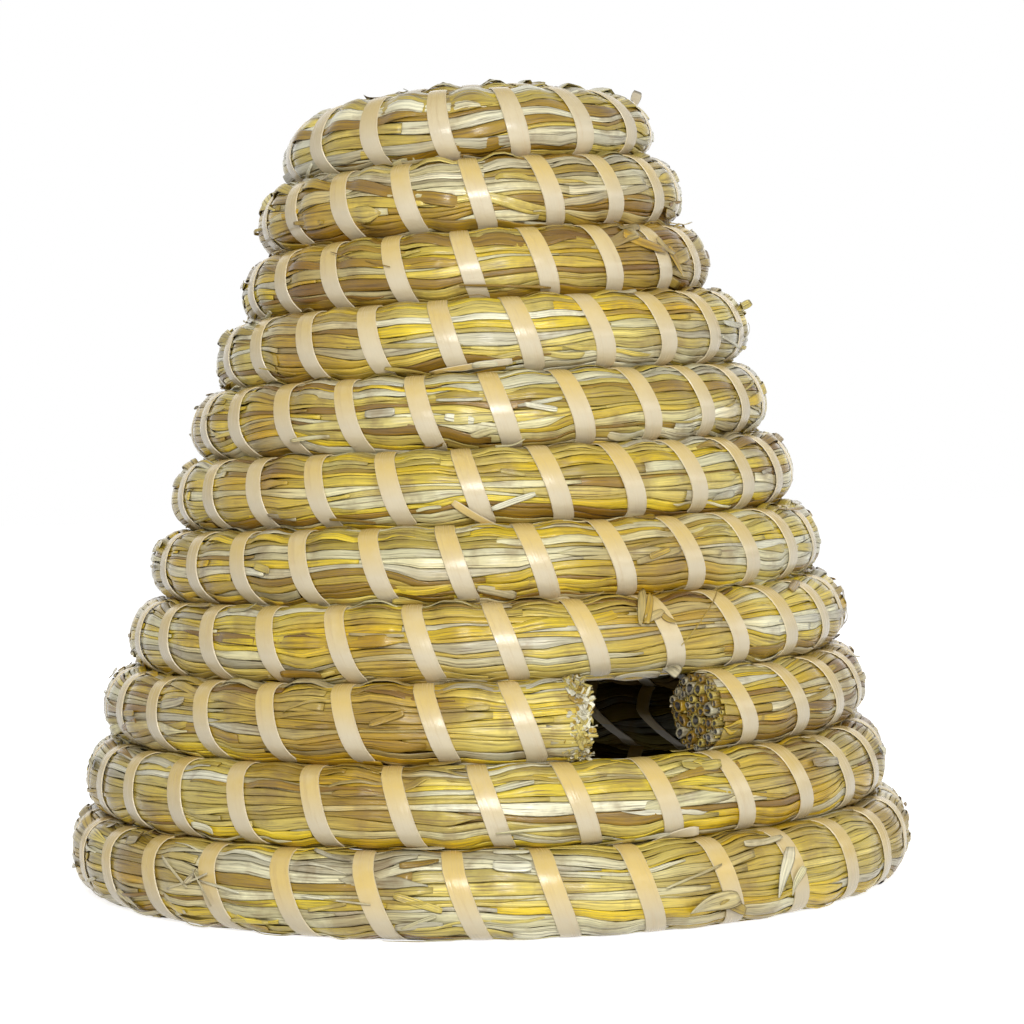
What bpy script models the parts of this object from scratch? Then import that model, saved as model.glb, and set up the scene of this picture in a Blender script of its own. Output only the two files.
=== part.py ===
"""Bee skep: one long straw rope wound down as a clockwise coil and bound with a strip of split cane.

Metres, +Z up. The origin is the centre of the base on the ground, and the entrance faces -Y.
A place along the coil is its turn number: it grows down the rope by one each lap, and row k has turn k
in front, just left of the entrance's middle. A place across the wall is the run down the wall from
the middle of the crown.
"""
import math

import bmesh
import bpy
import numpy as np

# The coil
ROWS = 11
ENTRANCE_ROW = 9
ROW_PITCH = 0.0350              # row to row, measured down the wall
ROPE_HALF_WIDTH = 0.0180        # half the thickness of the wall
TOP_ROW_RADIUS = 0.0701         # middle of the first row that shows below the crown
WALL_LEAN = math.radians(19.3)  # the wall against the vertical
CROWN_LEAN = math.radians(88)   # the crown against the vertical
SHOULDER_ABOVE = 0.72           # rows above row one where the crown starts to turn down
SHOULDER_BELOW = 0.50           # rows below row one where the wall has its full lean
FOOT_START = 2.2                # rows above the base where the wall starts to stand up
FOOT_REACH = 1.4                # rows over which it comes upright
THICK_TURN = 9.4                # where the rope starts to thicken towards the base
THICKENING = 0.038              # how much the row pitch grows in each turn from there
LEVEL_FROM = 1.5                # turn above which the rope winds as a plain helix
LEVEL_ROWS = ROWS - 0.2         # turn where the rows are as level as they get above the base
LEVEL_MOST = 0.74               # share of the helix's fall that the front of the lower rows leaves out
BASE_TURN = ROWS + 0.7          # turn from which the rope lies flat on the ground
FALL_START = 0.3                # share of a turn past the front where a level row starts to fall
FALL_REACH = 0.4                # share of a turn, round the back, over which it falls to the next row
EYE_RADIUS = 0.006              # where the coil starts
START_HEIGHT = 0.008            # the rope's thickness where it starts and where it ends
FULL_HEIGHT = 0.85              # share of the row pitch from which the rope has its full width
THIN_WIDTH = 0.35               # share of that width at the very tip of the rope
ENTRANCE_WIDTH = 0.058          # gap between the two cut ends of the rope
ENTRANCE_OFFSET = 0.012         # turns from the gap's middle on to the row's whole turn

# The cane strip
CANE_WIDTH = 0.0095
CANE_CROWN = 0.0012             # thickness where it shows
CANE_THIN = 0.0006              # thickness where it passes between two rows
CANE_SLANT = 0.010              # how far a wrap moves on while it climbs the outside of row one
SLANT_GROWTH = 0.0003           # how much more it moves on in each row below
TOP_STITCH = 0.0270             # distance between wraps in the first row
STITCH_GROWTH = 0.077           # growth of that distance per metre of radius
CROWN_WRAPS = 11                # the fewest wraps in one turn
FIT = 0.0003                    # air between two pieces that touch
GROOVE = 0.0012                 # how far the base rope is cut up to clear the strip
CROSSING = 0.02                 # share of a stitch that the strip moves on from corner to corner in a seam
GROUND_CLEAR = 0.002            # the base rope is cut under the strip where it is lower than this
WARP_LIMIT = 0.00015            # a stretch more twisted than this gets a ring halfway
WARP_FIT = 0.7                  # share of a stretch's twist by which the strip is held off it

# The plug in the eye of the crown
PLUG_HEIGHT = 0.020
PLUG_FIT = 0.0012               # room round it for the inner edge of the coil
PLUG_ROUNDING = 0.45            # rounding of its rims, as a share of its radius

# Share of a stitch from each row's whole turn to the next wrap down the rope
PHASES = {1: 0.41, 2: 0.05, 3: 0.28, 4: 0.68, 5: 0.11, 6: 0.54, 7: 0.85, 8: 0.34, 10: 0.66, 11: 0.98}
PHASE_BEFORE_ENTRANCE = 0.40
PHASE_AFTER_ENTRANCE = 0.20

# Corners of the rope's section, as shares of its half height and half width, from the outer
# bottom corner up the outside, over the top and down the inside
CORNERS = np.array([
    (-1, 0.38), (-0.64, 0.88), (0, 1), (0.64, 0.88), (1, 0.38),
    (1, -0.38), (0.55, -0.94), (-0.55, -0.94), (-1, -0.38),
])
BOTTOM_OUT, LOW_OUT, MIDDLE_OUT, HIGH_OUT, TOP_OUT, TOP_IN, HIGH_IN, LOW_IN, BOTTOM_IN = range(9)

# How far the rope wanders out of an even wall, by turn: hand work is never quite round
WANDER = {
    -0.2: 0.0, 0.2: -0.0050, 0.8: -0.0030, 1.3: 0.0, 1.8: -0.0045, 2.3: 0.0012, 2.8: -0.0032,
    3.3: -0.0015, 3.8: 0.0037, 4.3: 0.0,
    4.8: 0.0, 5.3: 0.0015, 6.3: 0.0, 6.8: 0.0013, 7.3: -0.0013, 7.8: 0.0010, 8.3: -0.0012,
    8.8: -0.0022, 9.3: 0.0, 9.8: -0.0050, 10.3: -0.0027, 10.8: 0.0,
}

STRAW_COLOURS = [(0.46, 0.33, 0.14, 1), (0.42, 0.30, 0.14, 1)]
CANE_COLOURS = [(0.66, 0.49, 0.31, 1), (0.60, 0.48, 0.35, 1)]

FIRST_TURN = -1.3
LAST_TURN = ROWS + 0.72


def smooth(value):
    """Ease from 0 to 1."""
    value = np.clip(value, 0, 1)
    return value * value * (3 - 2 * value)


def lean_near_row_one(run):
    """The wall's lean from the vertical, at a run measured from the middle of row one."""
    shoulder = smooth((run / ROW_PITCH + SHOULDER_ABOVE) / (SHOULDER_ABOVE + SHOULDER_BELOW))
    foot = smooth((run / ROW_PITCH - (ROWS - FOOT_START)) / FOOT_REACH)
    return (CROWN_LEAN + (WALL_LEAN - CROWN_LEAN) * shoulder) * (1 - foot)


def total(values, step):
    """Running total of a sampled slope."""
    return np.concatenate([[0], np.cumsum((values[1:] + values[:-1]) / 2 * step)])


def rows_down(turn):
    """Rows passed at a turn, in rows of plain pitch: the rope thickens towards the base."""
    return turn + THICKENING / 2 * np.maximum(0, turn - THICK_TURN) ** 2


STEP = 0.0002
SHOULDER = np.arange(-SHOULDER_ABOVE * ROW_PITCH, 0, STEP)
FLAT_RUN = (TOP_ROW_RADIUS - total(np.sin(lean_near_row_one(SHOULDER)), STEP)[-1]) / math.sin(CROWN_LEAN)
ROW_ONE_RUN = FLAT_RUN + SHOULDER_ABOVE * ROW_PITCH
TURN_ZERO_RUN = ROW_ONE_RUN - 1.5 * ROW_PITCH
FOOT_RUN = TURN_ZERO_RUN + rows_down(ROWS + 1) * ROW_PITCH

RUNS = np.arange(-0.02, FOOT_RUN + 0.03, STEP)
LEANS = lean_near_row_one(RUNS - ROW_ONE_RUN)
RADII = total(np.sin(LEANS), STEP)
RADII = RADII - np.interp(0, RUNS, RADII)
DROPS = total(np.cos(LEANS), STEP)
HEIGHTS = np.interp(FOOT_RUN, RUNS, DROPS) - DROPS
BENDS = -np.gradient(LEANS, STEP)


def level_share(turn):
    """How level the seam runs across the front: 0 is a plain helix, 1 lies flat."""
    return np.interp(turn, [LEVEL_FROM, LEVEL_ROWS, BASE_TURN], [0, LEVEL_MOST, 1])


def seam_run(turn):
    """Run of the seam above the rope; the seam below it is the one a turn further on."""
    part = np.mod(turn, 1)
    ripple = smooth((part - FALL_START) / FALL_REACH) - part
    above_base = turn + level_share(turn) * ripple
    passed = np.where(turn < BASE_TURN, above_base, ROWS + 1 + turn - BASE_TURN)
    return TURN_ZERO_RUN + ROW_PITCH * rows_down(passed)


def stitch_at(radius):
    """Distance between two wraps at this radius of the rope's middle."""
    wide = TOP_STITCH + (radius - TOP_ROW_RADIUS) * STITCH_GROWTH
    return np.minimum(wide, 2 * math.pi * np.maximum(radius, EYE_RADIUS) / CROWN_WRAPS)


def seam_gap(turn):
    """Width of the seam above the rope: two passes of cane, and what straight sides need."""
    run = seam_run(turn)
    radius = np.maximum(np.interp(run, RUNS, RADII), EYE_RADIUS)
    sag = stitch_at(radius) ** 2 / (8 * radius) * np.sin(np.interp(run, RUNS, LEANS))
    pinch = 1 - 0.5 * ROPE_HALF_WIDTH * np.interp(run, RUNS, BENDS)
    return (2 * CANE_THIN + 3 * FIT + sag + 0.0001) / pinch


def rope_edges(turn):
    """Runs of the rope's top and bottom."""
    top = np.maximum(EYE_RADIUS, seam_run(turn) + seam_gap(turn) / 2)
    bottom = np.minimum(FOOT_RUN, seam_run(turn + 1) - seam_gap(turn + 1) / 2)
    return top, bottom


def rope_size(turn):
    """Run of the rope's middle, its half height and its half width."""
    top, bottom = rope_edges(turn)
    half_height = (bottom - top) / 2
    fullness = np.minimum(1, 2 * half_height / (FULL_HEIGHT * ROW_PITCH))
    half_width = ROPE_HALF_WIDTH * (THIN_WIDTH + (1 - THIN_WIDTH) * fullness)
    return (top + bottom) / 2, half_height, half_width


def section(turn, grow=0.0, lift=0.0):
    """Corners of the rope's section at one turn number, grown outwards, as an array of points."""
    middle, half_height, half_width = (float(value) for value in rope_size(turn))
    flat = CORNERS * (half_height, half_width)
    flat[[BOTTOM_OUT, BOTTOM_IN], 0] += lift
    flat[:, 1] += np.interp(turn, list(WANDER), list(WANDER.values()))
    side = np.roll(flat, -1, axis=0) - flat
    normal = np.stack([-side[:, 1], side[:, 0]], axis=1) / np.linalg.norm(side, axis=1)[:, None]
    before = np.roll(normal, 1, axis=0)
    flat = flat + grow * (normal + before) / (1 + (normal * before).sum(axis=1))[:, None]
    run = middle - flat[:, 0]
    lean = np.interp(run, RUNS, LEANS)
    radius = np.interp(run, RUNS, RADII) + flat[:, 1] * np.cos(lean)
    height = np.interp(run, RUNS, HEIGHTS) + flat[:, 1] * np.sin(lean)
    angle = -math.pi / 2 - 2 * math.pi * (turn + ENTRANCE_OFFSET)
    return np.stack([radius * math.cos(angle), radius * math.sin(angle), height], axis=1)


def blend(first, second, share):
    """The place between two places."""
    return first + (second - first) * share


def warp(first, second):
    """How far the sides of a stretch between two sections are from flat, at most."""
    along = second - first
    across = np.roll(first, -1, axis=0) - first
    normal = np.cross(along, across)
    normal = normal / np.linalg.norm(normal, axis=1)[:, None]
    diagonals = (across + along - np.roll(along, -1, axis=0)) / 2 - across / 2
    return float(np.abs((diagonals * normal).sum(axis=1)).max() / 2)


class Wrap:
    """One wrap of the strip, on the straight stretch of rope between two bends."""

    def __init__(self, start, end):
        self.start = start
        self.end = end
        middle, _, half_width = rope_size((start + end) / 2)
        outer = np.interp(middle, RUNS, RADII) + half_width * math.cos(np.interp(middle, RUNS, LEANS))
        self.length = float(outer * 2 * math.pi * (end - start))
        self.half_cane = min(CANE_WIDTH / 2 / self.length, 0.3)
        slant = CANE_SLANT + SLANT_GROWTH * ((start + end) / 2 - 1)
        self.climb = min(slant / 2 / self.length, 0.5 - 3 * CROSSING - self.half_cane)
        clear = FOOT_RUN - max(float(rope_edges(start)[1]), float(rope_edges(end)[1]))
        self.on_ground = clear < GROUND_CLEAR
        self.lift = GROOVE if self.on_ground else 0.0
        self.warp = warp(section(start), section(end))
        self.fit = FIT + WARP_FIT * self.warp

    def at(self, share, corner, grow):
        """Point over one corner of the rope, at a share of the stretch's length."""
        first = section(self.start, grow, self.lift)[corner]
        return blend(first, section(self.end, grow, self.lift)[corner], share)

    def groove(self):
        """Shares of the stretch where the rope's underside is cut for the strip."""
        low = 0.5 - self.climb - 2 * CROSSING - self.half_cane
        high = 0.5 - self.climb / 2 + self.half_cane
        margin = 0.0005 / self.length
        return low - 1.6 * margin, low - margin, high + margin, high + 1.6 * margin


def close_loft(name, rings):
    """Object skinned over rings of points, each ring in the same order, with flat ends."""
    rings = np.array(rings)
    around = rings.shape[1]
    mesh = bpy.data.meshes.new(name)
    shape = bmesh.new()
    bmesh.ops.create_grid(shape, x_segments=around, y_segments=len(rings) - 1, size=1)
    shape.verts.ensure_lookup_table()
    for row, ring in enumerate(rings):
        for column in range(around + 1):
            shape.verts[row * (around + 1) + column].co = ring[column % around]
    bmesh.ops.remove_doubles(shape, verts=shape.verts, dist=0.000001)
    bmesh.ops.holes_fill(shape, edges=[edge for edge in shape.edges if edge.is_boundary], sides=0)
    bmesh.ops.triangulate(shape, faces=shape.faces)
    bmesh.ops.recalc_face_normals(shape, faces=shape.faces)
    shape.to_mesh(mesh)
    shape.free()
    mesh.shade_smooth()
    mesh.set_sharp_from_angle(angle=math.radians(40))
    piece = bpy.data.objects.new(name, mesh)
    bpy.data.collections["bee_skep"].objects.link(piece)
    return piece


def rope(name, bends, wraps):
    """Straw rope through its bends, grooved underneath where the strip passes over the ground."""
    pull = [0.0] * len(bends)
    pull[0], pull[-1] = FIT / 2, -FIT / 2
    rings = []
    for bend, shift in zip(bends, pull):
        rings.append(section(bend + shift / (2 * math.pi * np.interp(rope_size(bend)[0], RUNS, RADII))))
        wrap = wraps.get(bend)
        if wrap is None:
            continue
        whole = section(wrap.start), section(wrap.end)
        cut = section(wrap.start, lift=wrap.lift), section(wrap.end, lift=wrap.lift)
        if wrap.on_ground:
            for share, pair in zip(wrap.groove(), (whole, cut, cut, whole)):
                rings.append(blend(pair[0], pair[1], share))
        elif wrap.warp > WARP_LIMIT:
            rings.append(blend(whole[0], whole[1], 0.5))
    return close_loft(name, rings)


def strip(name, wraps):
    """Cane strip wound round one lap: up the outside, in over the top and down the inside."""
    rings = []

    def put(wrap, share, corner, thickness):
        rings.append([
            wrap.at(share - wrap.half_cane, corner, wrap.fit),
            wrap.at(share + wrap.half_cane, corner, wrap.fit),
            wrap.at(share, corner, wrap.fit + thickness),
        ])

    for wrap in wraps:
        low, high = 0.5 - wrap.climb, 0.5 + wrap.climb
        put(wrap, low - 2 * CROSSING, LOW_IN, CANE_CROWN)
        put(wrap, low - CROSSING, BOTTOM_IN, CANE_THIN)
        put(wrap, low, BOTTOM_OUT, CANE_THIN)
        put(wrap, 0.5 - wrap.climb / 2, LOW_OUT, CANE_CROWN)
        put(wrap, 0.5, MIDDLE_OUT, CANE_CROWN)
        put(wrap, 0.5 + wrap.climb / 2, HIGH_OUT, CANE_CROWN)
        put(wrap, high, TOP_OUT, CANE_THIN)
        put(wrap, high + CROSSING, TOP_IN, CANE_THIN)
        put(wrap, high + 2 * CROSSING, HIGH_IN, CANE_CROWN)
    return close_loft(name, rings)


def wrap_turns():
    """Turn numbers of every wrap, in one list for the rope above the entrance and one for below."""
    turns = np.linspace(FIRST_TURN, LAST_TURN, 6000)
    radius = np.interp(rope_size(turns)[0], RUNS, RADII)
    counts = total(2 * math.pi * radius / stitch_at(radius), turns[1] - turns[0])
    above, below = [[-9.0, 0.0]], []
    shift = 0.0
    for row in range(1, ROWS + 1):
        here = float(np.interp(row, turns, counts)) + shift
        before = PHASE_BEFORE_ENTRANCE if row == ENTRANCE_ROW else PHASES.get(row, 0.5)
        after = PHASE_AFTER_ENTRANCE if row == ENTRANCE_ROW else before
        move = (1 - before - here + 0.5) % 1 - 0.5
        (above if row <= ENTRANCE_ROW else below).append([row, shift + move])
        shift += move
        if row == ENTRANCE_ROW:
            shift += before - after
            below.append([row, shift])
    lists = []
    for marks in (above, below):
        table = np.array(marks)
        shifted = counts + np.interp(turns, table[:, 0], table[:, 1])
        whole = np.arange(math.ceil(shifted[0]), math.floor(shifted[-1]) + 1)
        lists.append(np.interp(whole, shifted, turns))
    return lists


def rope_ends():
    """Turn numbers where the rope starts and ends, and the two cut ends at the entrance."""
    turns = np.linspace(FIRST_TURN - 0.3, LAST_TURN, 4000)
    thick = 2 * rope_size(turns)[1] > START_HEIGHT
    radius = np.interp(rope_size(ENTRANCE_ROW)[0], RUNS, RADII)
    half_gap = ENTRANCE_WIDTH / (4 * math.pi * radius)
    middle = ENTRANCE_ROW - ENTRANCE_OFFSET
    return turns[thick][0], middle - half_gap, middle + half_gap, turns[thick][-1]


def laps(wraps, start, end):
    """Cut one rope into laps: each is its bends and the wraps between them."""
    wraps = [turn for turn in wraps if start + 0.004 < turn < end - 0.004]
    middles = [(first + second) / 2 for first, second in zip(wraps, wraps[1:])]
    edge = (wraps[1] - wraps[0]) / 2
    first = max(start, wraps[0] - edge)
    last = min(end, wraps[-1] + edge)
    bends = [first] + middles + [last]
    inner = [row for row in range(1, ROWS + 1) if start + 0.1 < row < end - 0.1]
    cuts = [0] + [int(np.argmin([abs(bend - row) for bend in bends])) for row in inner] + [len(bends) - 1]
    result = []
    for low, high in zip(cuts, cuts[1:]):
        pairs = list(zip(bends[low:high + 1], bends[low + 1:high + 1]))
        found = [Wrap(pair_start, pair_end) for pair_start, pair_end in pairs]
        result.append((list(bends[low:high + 1]), found))
    if first - start > 0.001:
        result[0][0].insert(0, start)
    if end - last > 0.001:
        result[-1][0].append(end)
    return result


def material(name, colour, roughness):
    """Plain finish of one piece."""
    finish = bpy.data.materials.new(name)
    finish.use_nodes = True
    shader = finish.node_tree.nodes["Principled BSDF"]
    shader.inputs["Base Color"].default_value = colour
    shader.inputs["Roughness"].default_value = roughness
    shader.inputs["Metallic"].default_value = 0.0
    return finish


def crown_plug():
    """Short upright bundle that fills the eye of the crown."""
    radius = EYE_RADIUS - 2 * FIT - CANE_THIN - PLUG_FIT
    mesh = bpy.data.meshes.new("crown_plug")
    shape = bmesh.new()
    bmesh.ops.create_cone(shape, cap_ends=True, segments=14, radius1=radius, radius2=radius,
                          depth=PLUG_HEIGHT)
    rims = [edge for edge in shape.edges if abs(edge.verts[0].co.z - edge.verts[1].co.z) < 0.0001]
    bmesh.ops.bevel(shape, geom=rims, offset=radius * PLUG_ROUNDING, segments=2, profile=0.5, affect="EDGES")
    bmesh.ops.translate(shape, verts=shape.verts, vec=(0, 0, np.interp(0, RUNS, HEIGHTS)))
    bmesh.ops.triangulate(shape, faces=shape.faces)
    shape.to_mesh(mesh)
    shape.free()
    mesh.shade_smooth()
    mesh.set_sharp_from_angle(angle=math.radians(50))
    piece = bpy.data.objects.new("crown_plug", mesh)
    bpy.data.collections["bee_skep"].objects.link(piece)
    return piece


def build():
    """Model the skep."""
    for old in list(bpy.data.objects):
        bpy.data.objects.remove(old)
    bpy.context.scene.collection.children.link(bpy.data.collections.new("bee_skep"))
    start, cut_above, cut_below, end = rope_ends()
    above, below = wrap_turns()
    pieces = laps(above, start, cut_above) + laps(below, cut_below, end)
    for number, (bends, wraps) in enumerate(pieces):
        by_start = {wrap.start: wrap for wrap in wraps}
        label = "crown" if number == 0 else f"lap_{number:02d}"
        coil = rope(f"coil_{label}", bends, by_start)
        coil.data.materials.append(material(f"straw_{label}", STRAW_COLOURS[number % 2], 0.72))
        binding = strip(f"binding_{label}", wraps)
        binding.data.materials.append(material(f"cane_{label}", CANE_COLOURS[number % 2], 0.42))
    crown_plug().data.materials.append(material("straw_plug", STRAW_COLOURS[0], 0.72))


build()
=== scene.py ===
"""Dress the bee skep: straw blades and stalks along the coiled rope, and the split cane that binds it.

Metres, +Z up, the entrance facing -Y. The rope winds down clockwise, seen from above. A place along it
is its turn number, which grows by one each lap: row k has turn k in front, just left of the entrance.
"""

import logging
import math
from dataclasses import dataclass, field
from enum import Enum
from typing import Sequence

import bmesh
import bpy
import numpy as np
from mathutils import Euler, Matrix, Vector


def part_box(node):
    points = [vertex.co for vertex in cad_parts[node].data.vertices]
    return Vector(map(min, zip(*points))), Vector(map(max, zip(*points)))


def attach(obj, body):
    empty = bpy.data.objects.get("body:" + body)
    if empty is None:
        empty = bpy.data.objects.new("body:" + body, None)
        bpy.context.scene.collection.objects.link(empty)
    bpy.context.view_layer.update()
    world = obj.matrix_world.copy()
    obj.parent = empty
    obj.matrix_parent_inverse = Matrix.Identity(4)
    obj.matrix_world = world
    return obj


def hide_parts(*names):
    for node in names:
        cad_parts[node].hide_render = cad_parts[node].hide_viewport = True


LOG = logging.getLogger("bee_skep")
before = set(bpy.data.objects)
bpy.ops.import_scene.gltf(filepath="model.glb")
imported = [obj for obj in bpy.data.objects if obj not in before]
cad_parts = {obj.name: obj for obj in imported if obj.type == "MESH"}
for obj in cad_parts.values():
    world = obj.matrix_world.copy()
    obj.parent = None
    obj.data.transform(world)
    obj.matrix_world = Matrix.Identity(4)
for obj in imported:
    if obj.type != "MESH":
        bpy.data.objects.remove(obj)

MM = 0.001
WHITE = (1.0, 1.0, 1.0, 1.0)
PHOTO_PIXELS = 1024
FRONT = -math.pi / 2
FLOOR_GAP = 0.0002
LEVELS = 5

# Near its start the coil comes to a point, so lengths along it are worked out with at least this radius.
LEAST_RADIUS = 0.012
MEAN_ROPE_RADIUS = 0.0175

# Rope length for one unit of the grain map, and the place of a ribbon's top middle across that map.
GRAIN_UNIT = 0.010
RIBBON_MIDDLE = 0.3125

# Sections of a ribbon and of the cane: places across in half widths, from -1 to 1 and back below, and
# heights in thicknesses.
RIBBON_ACROSS = np.array([-1.0, -0.80, -0.30, 0.30, 0.80, 1.0, 0.5, -0.5])
LAID_DOME = np.array([-0.10, 0.80, 1.0, 1.0, 0.80, -0.10, -1.0, -1.0])
LOOSE_DOME = np.array([0.0, 0.8, 1.0, 1.0, 0.8, 0.0, -0.6, -0.6])
CANE_ACROSS = np.array([-1.0, -0.95, -0.35, 0.35, 0.95, 1.0, 0.5, -0.5])
CANE_DOME = np.array([0.0, 0.85, 1.1, 1.1, 0.85, 0.0, -0.4, -0.4])

# Shares of yellow and of brown straw by lap, from the crown down.
YELLOW_SHARE = (0.06, 0.08, 0.10, 0.14, 0.16, 0.24, 0.36, 0.42, 0.34, 0.22, 0.26, 0.26)
BROWN_SHARE = (0.26, 0.26, 0.24, 0.18, 0.18, 0.20, 0.12, 0.10, 0.12, 0.10, 0.09, 0.10)


def ease(value: np.ndarray) -> np.ndarray:
    """Ease from 0 to 1.

    Args:
        value: Numbers that run past 0 and 1.

    Returns:
        The eased numbers, held between 0 and 1.
    """
    value = np.clip(value, 0.0, 1.0)
    return value * value * (3.0 - 2.0 * value)


def running_total(values: np.ndarray, step: float) -> np.ndarray:
    """Add up a sampled slope.

    Args:
        values: Slope at each sample.
        step: Distance between samples.

    Returns:
        The total at each sample, from 0.
    """
    return np.concatenate([[0.0], np.cumsum((values[1:] + values[:-1]) / 2 * step)])


class Side(Enum):
    """The two cut ends of the rope at the entrance."""

    RIGHT = "right"
    LEFT = "left"


@dataclass
class SkepShape:
    """The wall's outline and the rope that winds down it.

    Attributes:
        rows: Rows of rope that show below the crown.
        entrance_row: The row that is cut for the entrance.
        row_pitch: Row to row, down the wall.
        rope_half_width: Half the thickness of the wall.
        top_row_radius: Radius of the middle of the first row.
        wall_lean: Lean of the wall from the vertical.
        crown_lean: Lean of the crown from the vertical.
        shoulder_above: Rows above row one where the crown starts to bend down.
        shoulder_below: Rows below row one where the wall's lean is reached.
        foot_start: Rows above the last where the wall starts to stand up.
        foot_reach: Rows that it takes to stand upright.
        thick_turn: Turn from which the rope thickens towards the base.
        thickening: Growth of the row pitch in each row below, as a share.
        eye_radius: Radius at which the coil starts.
        entrance_width: Width of the gap in the entrance row.
        entrance_offset: Turns from the gap's middle on to the row's whole turn.
        top_stitch: Distance between two wraps in row one.
        stitch_growth: How much it grows with the radius.
        crown_wraps: Most wraps in one lap of the crown.
        seam: Gap between the ropes of two rows.
        squareness: Power of the rope's section: 2 is an ellipse, more is squarer.
        phases: Place of the wraps in each row against its whole turn, in stitches.
        phase_before_entrance: The same for the entrance row, up to the cut.
        phase_after_entrance: The same from the other cut on.
        wander: How far the wall stands out of its outline, by turn.
    """

    rows: int = 11
    entrance_row: int = 9
    row_pitch: float = 0.0350
    rope_half_width: float = 0.0180
    top_row_radius: float = 0.0701
    wall_lean: float = math.radians(19.3)
    crown_lean: float = math.radians(88)
    shoulder_above: float = 0.72
    shoulder_below: float = 0.50
    foot_start: float = 2.2
    foot_reach: float = 1.4
    thick_turn: float = 9.4
    thickening: float = 0.038
    eye_radius: float = 0.006
    entrance_width: float = 0.058
    entrance_offset: float = 0.012
    top_stitch: float = 0.0270
    stitch_growth: float = 0.077
    crown_wraps: int = 11
    seam: float = 0.0022
    squareness: float = 2.35
    phases: dict[int, float] = field(default_factory=lambda: {
        1: 0.41, 2: 0.05, 3: 0.28, 4: 0.68, 5: 0.11, 6: 0.54, 7: 0.85, 8: 0.34, 10: 0.66, 11: 0.98})
    phase_before_entrance: float = 0.40
    phase_after_entrance: float = 0.20
    wander: dict[float, float] = field(default_factory=lambda: {
        -0.2: 0.0, 0.2: -0.0050, 0.8: -0.0030, 1.3: 0.0, 1.8: -0.0045, 2.3: 0.0012, 2.8: -0.0032,
        3.3: -0.0015, 3.8: 0.0037, 4.3: 0.0, 4.8: 0.0, 5.3: 0.0015, 6.3: 0.0, 6.8: 0.0013,
        7.3: -0.0013, 7.8: 0.0010, 8.3: -0.0012, 8.8: -0.0022, 9.3: 0.0, 9.8: -0.0050,
        10.3: -0.0027, 10.8: 0.0})

    def __post_init__(self) -> None:
        """Sample the wall's outline from the crown to the foot."""
        step = 0.0002
        pitch = self.row_pitch
        shoulder = np.arange(-self.shoulder_above * pitch, 0, step)
        reach = running_total(np.sin(self.lean_near_row_one(shoulder)), step)[-1]
        row_one = (self.top_row_radius - reach) / math.sin(self.crown_lean) + self.shoulder_above * pitch
        self.turn_zero_run = row_one - 1.5 * pitch
        self.foot_run = self.turn_zero_run + float(self.rows_down(np.array(self.rows + 1.0))) * pitch
        self.runs = np.arange(-0.02, self.foot_run + 0.03, step)
        self.leans = self.lean_near_row_one(self.runs - row_one)
        radii = running_total(np.sin(self.leans), step)
        self.radii = radii - np.interp(0, self.runs, radii)
        drops = running_total(np.cos(self.leans), step)
        self.heights = np.interp(self.foot_run, self.runs, drops) - drops

    def lean_near_row_one(self, run: np.ndarray) -> np.ndarray:
        """Give the wall's lean near the crown, down the wall and at the foot.

        Args:
            run: Distances down the wall, measured from the middle of row one.

        Returns:
            The lean from the vertical.
        """
        rows = run / self.row_pitch
        shoulder = ease((rows + self.shoulder_above) / (self.shoulder_above + self.shoulder_below))
        foot = ease((rows - (self.rows - self.foot_start)) / self.foot_reach)
        return (self.crown_lean + (self.wall_lean - self.crown_lean) * shoulder) * (1 - foot)

    def rows_down(self, turn: np.ndarray) -> np.ndarray:
        """Give the rows passed at a turn, in rows of plain pitch: the rope thickens towards the base."""
        return turn + self.thickening / 2 * np.maximum(0, turn - self.thick_turn) ** 2

    def seam_run(self, turn: np.ndarray) -> np.ndarray:
        """Give the run of the seam above the rope, which is nearly level across the front low down.

        Args:
            turn: Place along the rope.

        Returns:
            The seam's distance down the wall from the coil's start.
        """
        part = np.mod(turn, 1)
        ripple = ease((part - 0.3) / 0.4) - part
        level = np.interp(turn, [1.5, self.rows - 0.2, self.rows + 0.7], [0, 0.74, 1])
        foot = self.rows + 0.7
        inside = turn + level * ripple
        passed = np.where(turn < foot, inside, self.rows + 1 + turn - foot)
        return self.turn_zero_run + self.row_pitch * self.rows_down(passed)

    def rope_size(self, turn: np.ndarray) -> tuple[np.ndarray, np.ndarray, np.ndarray]:
        """Work out the rope's section, which is thinner where the coil starts and where it ends.

        Args:
            turn: Place along the rope.

        Returns:
            The run of the rope's middle, its half height and its half width.
        """
        top = np.maximum(self.eye_radius - self.seam / 2, self.seam_run(turn))
        bottom = np.minimum(self.foot_run, self.seam_run(turn + 1))
        half_height = (bottom - top) / 2
        fullness = np.clip((2 * half_height - self.seam) / (0.85 * self.row_pitch), 0.0, 1.0)
        return (top + bottom) / 2, half_height, self.rope_half_width * (0.35 + 0.65 * fullness)

    def radius(self, turn: np.ndarray) -> np.ndarray:
        """Give the radius of the rope's middle."""
        return np.interp(self.rope_size(turn)[0], self.runs, self.radii)

    def turns_per_metre(self, turn: float) -> float:
        """Give how much the turn number grows along a metre of rope."""
        return 1 / (2 * math.pi * max(float(self.radius(turn)), LEAST_RADIUS))

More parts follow.
